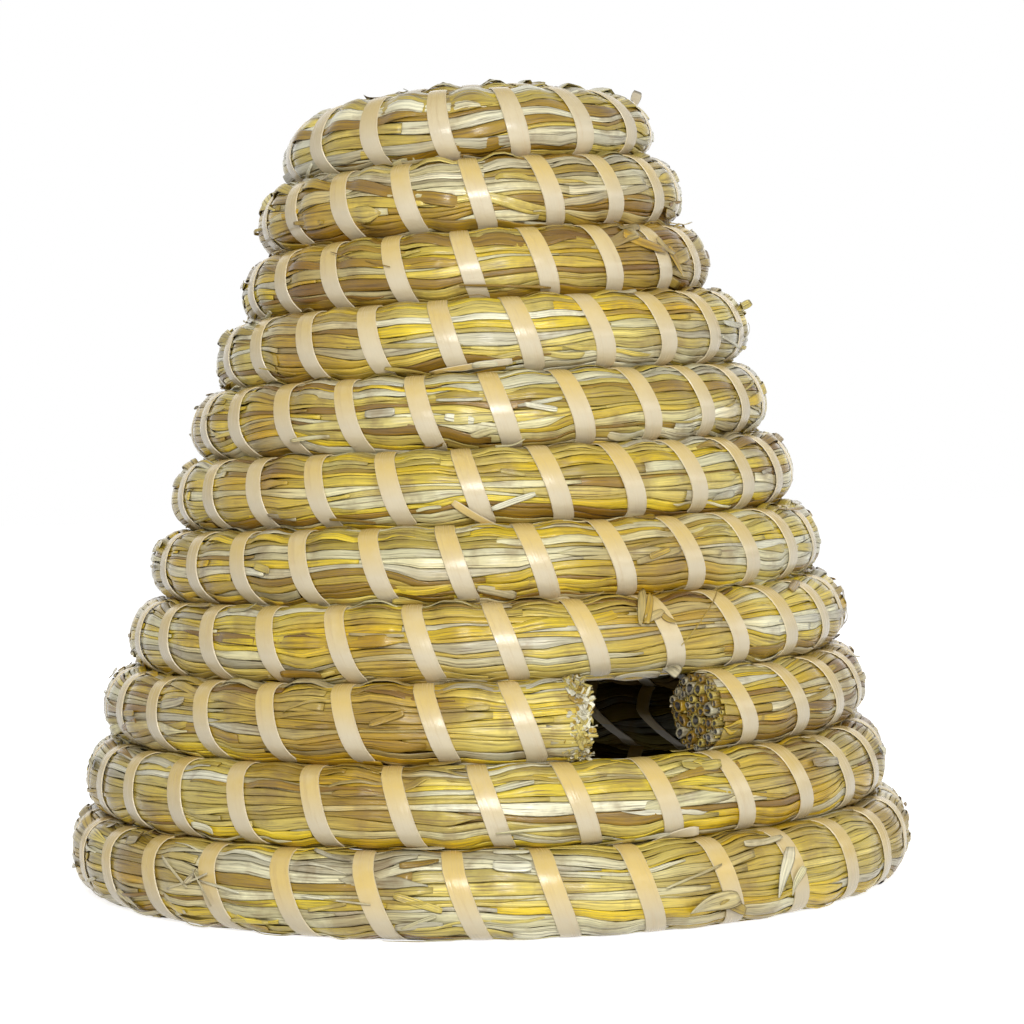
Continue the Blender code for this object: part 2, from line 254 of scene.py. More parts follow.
    def at(self, turn: np.ndarray, up: np.ndarray, out: np.ndarray) -> np.ndarray:
        """Find points of the rope's section.

        Args:
            turn: Place along the rope.
            up: Distance from the rope's middle up the wall.
            out: Distance from the rope's middle out of the wall.

        Returns:
            The points, with x, y and z in the last axis.
        """
        turn, up, out = np.broadcast_arrays(turn, up, out)
        run = self.rope_size(turn)[0] - up
        out = out + np.interp(turn, list(self.wander), list(self.wander.values()))
        lean = np.interp(run, self.runs, self.leans)
        radius = np.interp(run, self.runs, self.radii) + out * np.cos(lean)
        height = np.interp(run, self.runs, self.heights) + out * np.sin(lean)
        angle = FRONT - 2 * math.pi * (turn + self.entrance_offset)
        height = np.maximum(height, FLOOR_GAP)
        return np.stack([radius * np.cos(angle), radius * np.sin(angle), height], axis=-1)

    def skin(self, turn: np.ndarray, around: np.ndarray, lift: np.ndarray) -> np.ndarray:
        """Find points near the rope's surface.

        Args:
            turn: Place along the rope.
            around: Angle round the rope: 0 is outside, a quarter turn is up, half a turn is inside.
            lift: Distance out of the rope's surface.

        Returns:
            The points, with x, y and z in the last axis.
        """
        turn, around, lift = np.broadcast_arrays(turn, around, lift)
        _, half_height, half_width = self.rope_size(turn)
        cos, sin = np.cos(around), np.sin(around)
        power = self.squareness
        nearness = np.abs(cos / half_width) ** power + np.abs(sin / half_height) ** power
        reach = nearness ** (-1 / power) + lift
        return self.at(turn, reach * sin, reach * cos)

    def stitch(self, radius: np.ndarray) -> np.ndarray:
        """Space the wraps of cane.

        Args:
            radius: Radius of the rope's middle.

        Returns:
            The distance between two wraps.
        """
        wide = self.top_stitch + (radius - self.top_row_radius) * self.stitch_growth
        return np.minimum(wide, 2 * math.pi * np.maximum(radius, self.eye_radius) / self.crown_wraps)

    def rope_ends(self) -> tuple[float, float, float, float]:
        """Find where the rope starts, is cut and ends.

        Returns:
            The rope's start, its two cut ends at the entrance, and its end low at the back.
        """
        half_gap = self.entrance_width / 2 * self.turns_per_metre(self.entrance_row)
        middle = self.entrance_row - self.entrance_offset
        return -1.23, middle - half_gap, middle + half_gap, self.rows + 0.62

    def wraps(self) -> tuple[np.ndarray, np.ndarray]:
        """Count the wraps of cane along the rope, shifted so that each row starts at its phase.

        Returns:
            The turn number of each wrap, above the entrance and below it.
        """
        turns = np.linspace(-1.3, self.rows + 0.72, 6000)
        radius = self.radius(turns)
        counts = running_total(2 * math.pi * radius / self.stitch(radius), turns[1] - turns[0])
        above, below = [[-9.0, 0.0]], []
        shift = 0.0
        for row in range(1, self.rows + 1):
            cut = row == self.entrance_row
            before = self.phase_before_entrance if cut else self.phases[row]
            after = self.phase_after_entrance if cut else before
            here = float(np.interp(row, turns, counts)) + shift
            shift += (1 - before - here + 0.5) % 1 - 0.5
            (above if row <= self.entrance_row else below).append([row, shift])
            if cut:
                shift += before - after
                below.append([row, shift])
        found = []
        for marks in (above, below):
            table = np.array(marks)
            shifted = counts + np.interp(turns, table[:, 0], table[:, 1])
            whole = np.arange(math.ceil(shifted[0]), math.floor(shifted[-1]) + 1)
            found.append(np.interp(whole, shifted, turns))
        start, cut_above, cut_below, end = self.rope_ends()
        return (found[0][(found[0] > start + 0.004) & (found[0] < cut_above - 0.004)],
                found[1][(found[1] > cut_below + 0.004) & (found[1] < end - 0.004)])


@dataclass
class Lap:
    """One lap of the rope.

    Attributes:
        name: The lap's name in the frame's node names.
        start: Turn number where it starts.
        end: Turn number where it ends.
        wraps: Turn numbers of its wraps of cane.
        number: 0 at the crown, growing downwards.
    """

    name: str
    start: float
    end: float
    wraps: np.ndarray
    number: int


def cut_into_laps(shape: SkepShape) -> list[Lap]:
    """Share the rope and its wraps out to the laps of the frame.

    Args:
        shape: The skep's shape.

    Returns:
        The laps from the crown to the foot.
    """
    start, cut_above, cut_below, end = shape.rope_ends()
    laps: list[Lap] = []
    for wraps, first, last in ((shape.wraps()[0], start, cut_above), (shape.wraps()[1], cut_below, end)):
        middles = (wraps[1:] + wraps[:-1]) / 2
        rows = [row for row in range(1, shape.rows + 1) if first + 0.1 < row < last - 0.1]
        edges = [first] + [float(middles[np.argmin(np.abs(middles - row))]) for row in rows] + [last]
        for low, high in zip(edges, edges[1:]):
            number = len(laps)
            name = "crown" if number == 0 else f"lap_{number:02d}"
            laps.append(Lap(name, low, high, wraps[(wraps > low) & (wraps < high)], number))
    return laps


@dataclass
class Cane:
    """Where the cane strip runs on the rope.

    Attributes:
        shape: The skep's shape.
        wraps: Turn numbers of the wraps.
        width: Width of the strip.
        slant: How far a wrap moves on while it climbs the outside of row one.
        slant_growth: How much more it moves on in each row below.
        crossing: Share of a stitch that it moves on in a seam.
    """

    shape: SkepShape
    wraps: np.ndarray
    width: float = 0.0095
    slant: float = 0.010
    slant_growth: float = 0.0003
    crossing: float = 0.02

    def __post_init__(self) -> None:
        """Add one more wrap at each end, so that the count runs past them."""
        first = 2 * self.wraps[0] - self.wraps[1]
        last = 2 * self.wraps[-1] - self.wraps[-2]
        self.wraps = np.concatenate([[first], self.wraps, [last]])

    def count(self, turn: np.ndarray) -> np.ndarray:
        """Give the number of wraps above a turn, a whole number at each wrap."""
        return np.interp(turn, self.wraps, np.arange(len(self.wraps)) - 1.0)

    def turn(self, count: np.ndarray) -> np.ndarray:
        """Give the turn at a number of wraps."""
        return np.interp(count, np.arange(len(self.wraps)) - 1.0, self.wraps)

    def step(self, turn: np.ndarray) -> np.ndarray:
        """Measure one stitch on the outside of the rope.

        Args:
            turn: Place along the rope.

        Returns:
            The stitch's length.
        """
        span = np.interp(turn, self.wraps, np.gradient(self.wraps))
        radius = self.shape.radius(turn) + 0.8 * self.shape.rope_half_width
        return 2 * math.pi * radius * span

    def half_share(self, turn: np.ndarray) -> np.ndarray:
        """Give half the strip's width, in stitches."""
        return np.minimum(self.width / 2 / self.step(turn), 0.3)

    def shift(self, turn: np.ndarray, around: np.ndarray) -> np.ndarray:
        """Give how far the strip has moved on round the rope.

        It drops almost straight from the seam above and slants more and more towards the seam below.

        Args:
            turn: Place along the rope.
            around: Angle round the rope.

        Returns:
            The distance moved on, in stitches.
        """
        slant = self.slant + self.slant_growth * (turn - 1)
        climb = np.minimum(slant / 2 / self.step(turn), 0.44 - self.half_share(turn))
        degrees = np.mod(np.degrees(around) + 90, 360) - 90
        marks = [-67, -35, 0, 35, 67, 113, 152, 208, 247, 293]
        with_climb = np.interp(degrees, marks, [-1, -0.48, 0.15, 0.75, 1, 1, 1, -1, -1, -1])
        seams = np.interp(degrees, marks, [0, 0, 0, 0, 0, 1, 2, -2, -1, 0])
        whole = np.interp(degrees, [152, 208], [0, 1])
        return with_climb * climb + seams * self.crossing + whole

    def nearness(self, turn: np.ndarray, around: np.ndarray) -> np.ndarray:
        """Give the distance to the nearest wrap, in stitches, from -0.5 to 0.5."""
        return np.mod(self.count(turn) - self.shift(turn, around) + 0.5, 1) - 0.5


def skin_tubes(name: str, rings: np.ndarray, tints: np.ndarray, along: np.ndarray) -> bpy.types.Object:
    """Skin many closed tubes at once, from one grid that is cut between them.

    Args:
        name: Name of the piece.
        rings: Points by tube, ring and place in the ring.
        tints: Two numbers from 0 to 1 for each tube, for its colour.
        along: Length along each tube at each ring.

    Returns:
        The piece, one mesh of closed tubes with a map for the grain and one for the tints.
    """
    tubes, rows, sides, _ = rings.shape
    columns = sides + 1
    mesh = bpy.data.meshes.new(name)
    cage = bmesh.new()
    bmesh.ops.create_grid(cage, x_segments=sides, y_segments=tubes * rows - 1, size=1)
    cage.verts.index_update()
    joins = [face for face in cage.faces if (min(v.index for v in face.verts) // columns + 1) % rows == 0]
    bmesh.ops.delete(cage, geom=joins, context="FACES")
    cage.to_mesh(mesh)
    cage.free()
    places = np.concatenate([rings, rings[:, :, :1]], axis=2).reshape(-1, 3)
    mesh.vertices.foreach_set("co", places.astype(np.float32).ravel())
    corner = np.zeros(len(mesh.loops), dtype=np.int32)
    mesh.loops.foreach_get("vertex_index", corner)
    ring = corner // columns
    grain = np.stack([(corner % columns) / sides, along.reshape(-1)[ring]], axis=1)
    tint = tints[ring // rows]
    for label, values in (("grain", grain), ("tint", tint)):
        layer = mesh.uv_layers.new(name=label)
        layer.data.foreach_set("uv", values.astype(np.float32).ravel())
    body = bmesh.new()
    body.from_mesh(mesh)
    bmesh.ops.remove_doubles(body, verts=body.verts, dist=0.000001)
    bmesh.ops.holes_fill(body, edges=[edge for edge in body.edges if edge.is_boundary], sides=sides)
    bmesh.ops.recalc_face_normals(body, faces=body.faces)
    body.to_mesh(mesh)
    body.free()
    mesh.shade_smooth()
    piece = bpy.data.objects.new(name, mesh)
    bpy.context.scene.collection.objects.link(piece)
    return piece


def dress(piece: bpy.types.Object, finish: bpy.types.Material, nodes: Sequence[str]) -> None:
    """Give a piece its finish and its place in the frame.

    Args:
        piece: The piece.
        finish: Its material.
        nodes: Frame nodes that it stands for.
    """
    piece.data.materials.clear()
    piece.data.materials.append(finish)
    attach(piece, "root")
    if nodes:
        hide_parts(*nodes)
    LOG.info("%s: %d faces", piece.name, len(piece.data.polygons))


@dataclass
class NodeTree:
    """Short ways to build a node tree.

    Attributes:
        tree: The tree that is built.
    """

    tree: bpy.types.NodeTree

    def add(self, kind: str, **settings: object) -> bpy.types.Node:
        """Add a node and set its properties.

        Args:
            kind: The node's type.
            settings: Its properties by name.

        Returns:
            The node.
        """
        node = self.tree.nodes.new(kind)
        for key, value in settings.items():
            setattr(node, key, value)
        return node

    def link(self, source: bpy.types.NodeSocket, target: bpy.types.NodeSocket) -> None:
        """Join two sockets."""
        self.tree.links.new(source, target)

    def feed(self, value: object, target: bpy.types.NodeSocket) -> None:
        """Give a socket its value.

        Args:
            value: Another socket, or a plain number or colour.
            target: The socket.
        """
        if isinstance(value, bpy.types.NodeSocket):
            self.link(value, target)
        else:
            target.default_value = value

    def parts(self, vector: bpy.types.NodeSocket) -> tuple[bpy.types.NodeSocket, ...]:
        """Split a vector.

        Args:
            vector: The vector's socket.

        Returns:
            The outputs of its three parts.
        """
        node = self.add("ShaderNodeSeparateXYZ")
        self.link(vector, node.inputs[0])
        return tuple(node.outputs)

    def math(self, operation: str, first: object, second: object = 0.0) -> bpy.types.NodeSocket:
        """Add a Math node.

        Args:
            operation: What it does.
            first: Its first socket or number.
            second: Its second.

        Returns:
            Its output.
        """
        node = self.add("ShaderNodeMath", operation=operation)
        self.feed(first, node.inputs[0])
        self.feed(second, node.inputs[1])
        return node.outputs[0]

    def noise(self, vector: bpy.types.NodeSocket, scale: object, detail: float, roughness: float,
              dimensions: str = "3D") -> bpy.types.NodeSocket:
        """Add a noise.

        Args:
            vector: Where it is read.
            scale: Its scale, a socket or a number.
            detail: Its detail.
            roughness: How strong the fine detail is.
            dimensions: 2D or 3D.

        Returns:
            Its value.
        """
        node = self.add("ShaderNodeTexNoise", noise_dimensions=dimensions)
        self.link(vector, node.inputs["Vector"])
        self.feed(scale, node.inputs["Scale"])
        node.inputs["Detail"].default_value = detail
        node.inputs["Roughness"].default_value = roughness
        return node.outputs[0]

    def fibres(self, group: bpy.types.NodeTree, ribs: float, stretch: float,
               stain_size: float) -> tuple[bpy.types.NodeSocket, bpy.types.Node]:
        """Place the shared grain on the grain map.

        Args:
            group: The shared grain group.
            ribs: Lines across the map.
            stretch: Changes along one unit of it.
            stain_size: Scale of the stains.

        Returns:
            The map and the group's node.
        """
        grain = self.add("ShaderNodeUVMap", uv_map="grain").outputs[0]
        node = self.add("ShaderNodeGroup", node_tree=group)
        for label, value in (("Ribs", ribs), ("Stretch", stretch), ("Stain Size", stain_size)):
            node.inputs[label].default_value = value
        self.link(grain, node.inputs["Grain"])
        return grain, node

    def emboss(self, height: bpy.types.NodeSocket, strength: float, distance: float,
               shader: bpy.types.Node) -> None:
        """Give a shader its fine relief.

        Args:
            height: The height's socket.
            strength: How strongly it shows.
            distance: Its depth in metres.
            shader: The shader.
        """
        node = self.add("ShaderNodeBump")
        node.inputs["Strength"].default_value = strength
        node.inputs["Distance"].default_value = distance
        self.link(height, node.inputs["Height"])
        self.link(node.outputs[0], shader.inputs["Normal"])

    def spread(self, value: bpy.types.NodeSocket, source: tuple[float, float],
               target: tuple[float, float]) -> bpy.types.NodeSocket:
        """Stretch a value from one range to another, held at the ends.

        Args:
            value: The value's socket.
            source: The range that it comes from.
            target: The range that it gets.

        Returns:
            The stretched value.
        """
        node = self.add("ShaderNodeMapRange")
        self.link(value, node.inputs["Value"])
        for key, number in zip(("From Min", "From Max", "To Min", "To Max"), (*source, *target)):
            node.inputs[key].default_value = number
        return node.outputs["Result"]

    def mix(self, share: bpy.types.NodeSocket, first: object, second: object,
            blend: str = "MIX") -> bpy.types.NodeSocket:
        """Mix two colours, each a socket or a plain colour.

        Args:
            share: Share of the second.
            first: The first colour.
            second: The second colour.
            blend: How they mix.

        Returns:
            The mixed colour.
        """
        node = self.add("ShaderNodeMix", data_type="RGBA", blend_type=blend)
        self.link(share, node.inputs[0])
        for place, value in ((6, first), (7, second)):
            self.feed((*value, 1.0) if isinstance(value, tuple) else value, node.inputs[place])
        return node.outputs[2]

    def ramp(self, value: bpy.types.NodeSocket,
             stops: Sequence[tuple[float, tuple[float, float, float]]]) -> bpy.types.NodeSocket:
        """Colour a value by a ramp.

        Args:
            value: The value's socket.
            stops: Places from 0 to 1 and their colours.

        Returns:
            The colour.
        """
        node = self.add("ShaderNodeValToRGB")
        elements = node.color_ramp.elements
        while len(elements) < len(stops):
            elements.new(0.5)
        for element, (place, colour) in zip(elements, stops):
            element.position = place
            element.color = (*colour, 1.0)
        self.link(value, node.inputs[0])
        return node.outputs[0]


def start_finish(name: str) -> tuple[bpy.types.Material, NodeTree, bpy.types.Node]:
    """Start a material.

    Args:
        name: Its name.

    Returns:
        The material, its nodes and its shader.
    """
    finish = bpy.data.materials.new(name)
    finish.use_nodes = True
    return finish, NodeTree(finish.node_tree), finish.node_tree.nodes["Principled BSDF"]


def fibre_group() -> bpy.types.NodeTree:
    """Build the grain that straw and cane share: fine ribs along the piece and slow stains.

    Returns:
        The node group, with the ribs, the stains and a height.
    """
    group = bpy.data.node_groups.new("plant_fibre", "ShaderNodeTree")
    face = group.interface
    face.new_socket("Grain", in_out="INPUT", socket_type="NodeSocketVector")
    for label, start in (("Ribs", 14.0), ("Stretch", 12.0), ("Stain Size", 60.0)):
        socket = face.new_socket(label, in_out="INPUT", socket_type="NodeSocketFloat")
        socket.default_value = start
    for label in ("Ribs", "Stains", "Height"):
        face.new_socket(label, in_out="OUTPUT", socket_type="NodeSocketFloat")
    nodes = NodeTree(group)
    source = nodes.add("NodeGroupInput")
    result = nodes.add("NodeGroupOutput")
    across, along, _ = nodes.parts(source.outputs["Grain"])
    stretched = nodes.add("ShaderNodeCombineXYZ")
    nodes.link(nodes.math("MULTIPLY", across, source.outputs["Ribs"]), stretched.inputs[0])
    nodes.link(nodes.math("MULTIPLY", along, source.outputs["Stretch"]), stretched.inputs[1])
    ribs = nodes.noise(stretched.outputs[0], 1.0, detail=3.0, roughness=0.65, dimensions="2D")
    place = nodes.add("ShaderNodeTexCoord").outputs["Object"]
    stains = nodes.noise(place, source.outputs["Stain Size"], detail=4.0, roughness=0.6)
    nodes.link(nodes.spread(ribs, (0.32, 0.68), (0.0, 1.0)), result.inputs["Ribs"])
    nodes.link(nodes.spread(stains, (0.36, 0.66), (0.0, 1.0)), result.inputs["Stains"])
    nodes.link(ribs, result.inputs["Height"])
    return group


@dataclass(frozen=True)
class StrawFinish:
    """Dry straw: every ribbon has its own tone, with fine lines along it and darker stains.

    Attributes:
        name: Name of the material.
        tones: Colours by tone: brown, olive, gold, yellow, pale and grey straw.
        roughness: Roughness of the smooth skin.
        stain: Colour of the stains.
        stain_share: How strongly the stains show.
        gap: Colour of the painted shade along a ribbon's edges, where the ribbons meet.
        streak: Colour of the dark lines along a ribbon.
        weathered: What the browner stretches of the rope keep of each colour.
        bump: Height of the lines, in metres.
        level: Brightness of the whole finish.
        brightness: Brightness of the darkest and of the palest ribbon.
        contrast: Brightness of the darkest and of the palest line along a ribbon.
        shine: Specular level of the skin.
        hollow: Whether the grain map runs on from 0 into hollows that are darkened with painted shade.
        depth: Colour of the painted shade deep in a hollow.
    """

    name: str = "straw_ribbons"
    tones: tuple[tuple[float, tuple[float, float, float]], ...] = (
        (0.00, (0.250, 0.135, 0.012)),
        (0.14, (0.420, 0.270, 0.022)),
        (0.20, (0.490, 0.370, 0.060)),
        (0.33, (0.640, 0.530, 0.165)),
        (0.40, (0.640, 0.485, 0.060)),
        (0.50, (0.750, 0.620, 0.175)),
        (0.56, (0.720, 0.500, 0.015)),
        (0.66, (0.800, 0.620, 0.050)),
        (0.70, (0.710, 0.650, 0.350)),
        (0.83, (0.850, 0.820, 0.620)),
        (0.87, (0.450, 0.400, 0.230)),
        (1.00, (0.690, 0.660, 0.500)),
    )
    roughness: float = 0.20
    stain: tuple[float, float, float] = (0.22, 0.135, 0.045)
    stain_share: float = 0.50
    gap: tuple[float, float, float] = (0.075, 0.040, 0.012)
    streak: tuple[float, float, float] = (0.130, 0.070, 0.020)
    weathered: tuple[float, float, float] = (0.62, 0.47, 0.18)
    bump: float = 0.0004
    level: float = 1.0
    brightness: tuple[float, float] = (0.82, 1.12)
    contrast: tuple[float, float] = (0.58, 1.18)
    shine: float = 0.5
    hollow: bool = False
    depth: tuple[float, float, float] = (0.015, 0.013, 0.016)

    def build(self, fibre: bpy.types.NodeTree) -> bpy.types.Material:
        """Build the material.

        Args:
            fibre: The shared grain group.

        Returns:
            The material.
        """
        finish, nodes, shader = start_finish(self.name)
        grain, fibres = nodes.fibres(fibre, ribs=13.0, stretch=0.40, stain_size=55.0)
        across, along, _ = nodes.parts(grain)
        tone, brightness, _ = nodes.parts(nodes.add("ShaderNodeUVMap", uv_map="tint").outputs[0])
        own = nodes.spread(brightness, (0.0, 1.0), tuple(value * self.level for value in self.brightness))
        ribs = nodes.spread(fibres.outputs["Ribs"], (0.0, 1.0), self.contrast)
        ribbed = nodes.add("ShaderNodeVectorMath", operation="SCALE")
        nodes.link(nodes.ramp(tone, self.tones), ribbed.inputs[0])
        nodes.link(nodes.math("MULTIPLY", ribs, own), ribbed.inputs["Scale"])
        streaks = nodes.spread(fibres.outputs["Ribs"], (0.0, 0.24), (0.55, 0.0))
        colour = nodes.mix(streaks, ribbed.outputs[0], self.streak)
        place = nodes.add("ShaderNodeTexCoord").outputs["Object"]
        region = nodes.noise(place, 11.0, detail=2.0, roughness=0.5)
        brown = nodes.spread(region, (0.47, 0.66), (0.0, 0.9))
        colour = nodes.mix(brown, colour, self.weathered, "MULTIPLY")
        stained = nodes.spread(fibres.outputs["Stains"], (0.50, 1.0), (0.0, self.stain_share))
        colour = nodes.mix(stained, colour, self.stain)
        # Painted shade along each ribbon's edges, where it meets its neighbours.
        off = nodes.math("ABSOLUTE", nodes.math("SUBTRACT", across, RIBBON_MIDDLE))
        colour = nodes.mix(nodes.spread(off, (0.25, 0.31), (0.0, 0.40)), colour, self.gap)
        # Painted shade deep in each stalk's hollow.
        if self.hollow:
            colour = nodes.mix(nodes.spread(along, (0.02, 0.10), (0.0, 0.95)), colour, self.depth)
        nodes.link(colour, shader.inputs["Base Color"])
        rough = nodes.spread(fibres.outputs["Ribs"], (0.0, 1.0), (self.roughness + 0.17, self.roughness))
        nodes.link(rough, shader.inputs["Roughness"])
        shader.inputs["Specular IOR Level"].default_value = self.shine
        nodes.emboss(fibres.outputs["Height"], 0.6, self.bump, shader)
        return finish


@dataclass(frozen=True)
class CaneFinish:
    """Split cane: smooth and glossy, with fine lines along it and pale edges, and painted light: golden
    above as if lit from above, greyer below as a painted pale reflection.

    Attributes:
        name: Name of the material.
        painted_lit_top: Painted top light, the colour on the upper half of each row.
        grey: Painted pale reflection, the colour on the lower half of each row.
        edge: Colour of the shaved edges.
        line: Colour of the fine lines.
        wind: Length of one wrap, in the units of the grain map.
        roughness: Roughness of the lines and of the skin between them.
        bump: Height of the lines, in metres.
    """

    name: str = "split_cane"
    painted_lit_top: tuple[float, float, float] = (0.680, 0.500, 0.170)
    grey: tuple[float, float, float] = (0.600, 0.520, 0.360)
    edge: tuple[float, float, float] = (0.720, 0.630, 0.440)
    line: tuple[float, float, float] = (0.40, 0.26, 0.11)
    wind: float = 11.5
    roughness: tuple[float, float] = (0.30, 0.20)
    bump: float = 0.0002

    def build(self, fibre: bpy.types.NodeTree) -> bpy.types.Material:
        """Build the material.

        Args:
            fibre: The shared grain group.

        Returns:
            The material.
        """
        finish, nodes, shader = start_finish(self.name)
        grain, fibres = nodes.fibres(fibre, ribs=34.0, stretch=0.30, stain_size=30.0)
        across, along, _ = nodes.parts(grain)
        winds = nodes.math("DIVIDE", along, self.wind)
        # Painted light: each row's upper half is coloured as if lit from above, its lower half as a pale
        # reflection.
        above = nodes.math("SUBTRACT", nodes.math("FRACT", nodes.math("ADD", winds, 0.5)), 0.5)
        base = nodes.mix(nodes.spread(above, (-0.08, 0.05), (0.0, 1.0)), self.grey, self.painted_lit_top)
        worn = nodes.spread(fibres.outputs["Stains"], (0.4, 1.0), (0.0, 0.35))
        base = nodes.mix(worn, base, self.edge)
        lines = nodes.spread(fibres.outputs["Ribs"], (0.0, 0.40), (0.28, 0.0))
        base = nodes.mix(lines, base, self.line)
        off = nodes.math("ABSOLUTE", nodes.math("SUBTRACT", across, RIBBON_MIDDLE))
        base = nodes.mix(nodes.spread(off, (0.17, 0.24), (0.0, 0.8)), base, self.edge)
        nodes.link(base, shader.inputs["Base Color"])
        rough = nodes.spread(fibres.outputs["Ribs"], (0.0, 1.0), self.roughness)
        nodes.link(rough, shader.inputs["Roughness"])
        nodes.emboss(fibres.outputs["Height"], 0.5, self.bump, shader)
        return finish


def free_levels(first: np.ndarray, last: np.ndarray, low: np.ndarray, high: np.ndarray) -> np.ndarray:
    """Lay ribbons over each other, so that two that cross never share a level.

    Args:
        first: Turn where each ribbon starts, as one column.
        last: Turn where it ends.
        low: Angle of its one edge along it.
        high: Angle of its other edge.

    Returns:
        For each ribbon the lowest level, from 0, that no ribbon below it has taken, or else the highest.
    """
    first, last, low, high = first[:, 0], last[:, 0], low.min(axis=1), high.max(axis=1)
    levels = np.zeros(len(first))
    for i in range(1, len(first)):
        meets = (first[:i] < last[i]) & (last[:i] > first[i]) & (low[:i] < high[i]) & (high[:i] > low[i])
        free = np.setdiff1d(np.arange(LEVELS), levels[:i][meets])
        levels[i] = free[0] if len(free) else LEVELS - 1
    return levels


def steps_between(number: int) -> np.ndarray:
    """Give numbers from 0 to 1 that are all different, so that no two ribbons lie at one height."""
    return np.arange(number) * 0.618034 % 1


@dataclass
class StrawLay:
    """How the ribbons of straw lie side by side round the whole rope, one track beside the next.

    Attributes:
        shape: The skep's shape.
        cane: The strip that binds this stretch of rope.
        start: Turn number where the stretch starts.
        end: Turn number where it ends.
        tracks: Ribbons side by side round the rope.
        unevenness: How much the ribbons' widths change along the rope.
        limits: How far a width may fall and rise, as a power of e.
        finer_outside: How much finer the ribbons are outside the skep than inside.
        lengths: Shortest and longest ribbon.
        lap_over: How far a ribbon runs on under the next.
        seed: Seed of the lay.
    """

    shape: SkepShape
    cane: Cane
    start: float
    end: float
    tracks: int = 25
    unevenness: float = 0.80
    limits: tuple[float, float] = (-1.3, 0.5)
    finer_outside: float = 0.35
    lengths: tuple[float, float] = (0.060, 0.200)
    lap_over: float = 0.009
    seed: int = 21

    def __post_init__(self) -> None:
        """Choose the waves of the tracks' widths."""
        self.random = np.random.default_rng(self.seed)
        self.turns = np.linspace(self.start - 0.1, self.end + 0.1, 3000)
        radius = np.maximum(self.shape.radius(self.turns), LEAST_RADIUS)
        self.metres = running_total(2 * math.pi * radius, float(self.turns[1] - self.turns[0]))
        self.waves = self.random.uniform(0.07, 0.30, (3, self.tracks))
        self.phases = self.random.uniform(0, 2 * math.pi, (3, self.tracks))
        self.ribbons = self.joints()

    def length(self, turn: np.ndarray) -> np.ndarray:
        """Give the length of rope down to a turn."""
        return np.interp(turn, self.turns, self.metres)

    def edges(self, turn: np.ndarray) -> np.ndarray:
        """Share the rope's round out to the tracks.

        Args:
            turn: Places along the rope.

        Returns:
            The angles between the tracks, with the tracks in the last axis.
        """
        along = self.length(turn)[..., None]
        noise = sum(np.sin(2 * math.pi * along / self.waves[i] + self.phases[i]) for i in range(3))
        # 0.58 brings the sum of three waves back to about the size of one.
        widths = np.exp(np.clip(self.unevenness * noise * 0.58, *self.limits))
        finer = 1.0 + self.finer_outside * np.cos(np.arange(self.tracks) / self.tracks * 2 * math.pi)
        widths = widths / finer
        turned = np.concatenate([np.zeros(widths.shape[:-1] + (1,)), np.cumsum(widths, axis=-1)], axis=-1)
        drift = 0.5 * np.sin(along / 0.9) + 0.3 * np.sin(along / 0.37 + 1.0)
        return turned / turned[..., -1:] * 2 * math.pi + 0.2 * drift

    def joints(self) -> list[tuple[int, float, float]]:
        """Cut the tracks into ribbons.

        Returns:
            For each ribbon its track, and the turns where it starts and ends.
        """
        found: list[tuple[int, float, float]] = []
        total = float(self.length(self.end))
        for track in range(self.tracks):
            place = float(self.length(self.start)) - self.random.uniform(0, self.lengths[1])
            while place < total:
                stop = place + self.random.uniform(*self.lengths)
                low, high = np.interp([place, stop + self.lap_over], self.metres, self.turns)
                if high > self.start + 0.002:
                    found.append((track, float(low), float(high)))
                place = stop
        return found


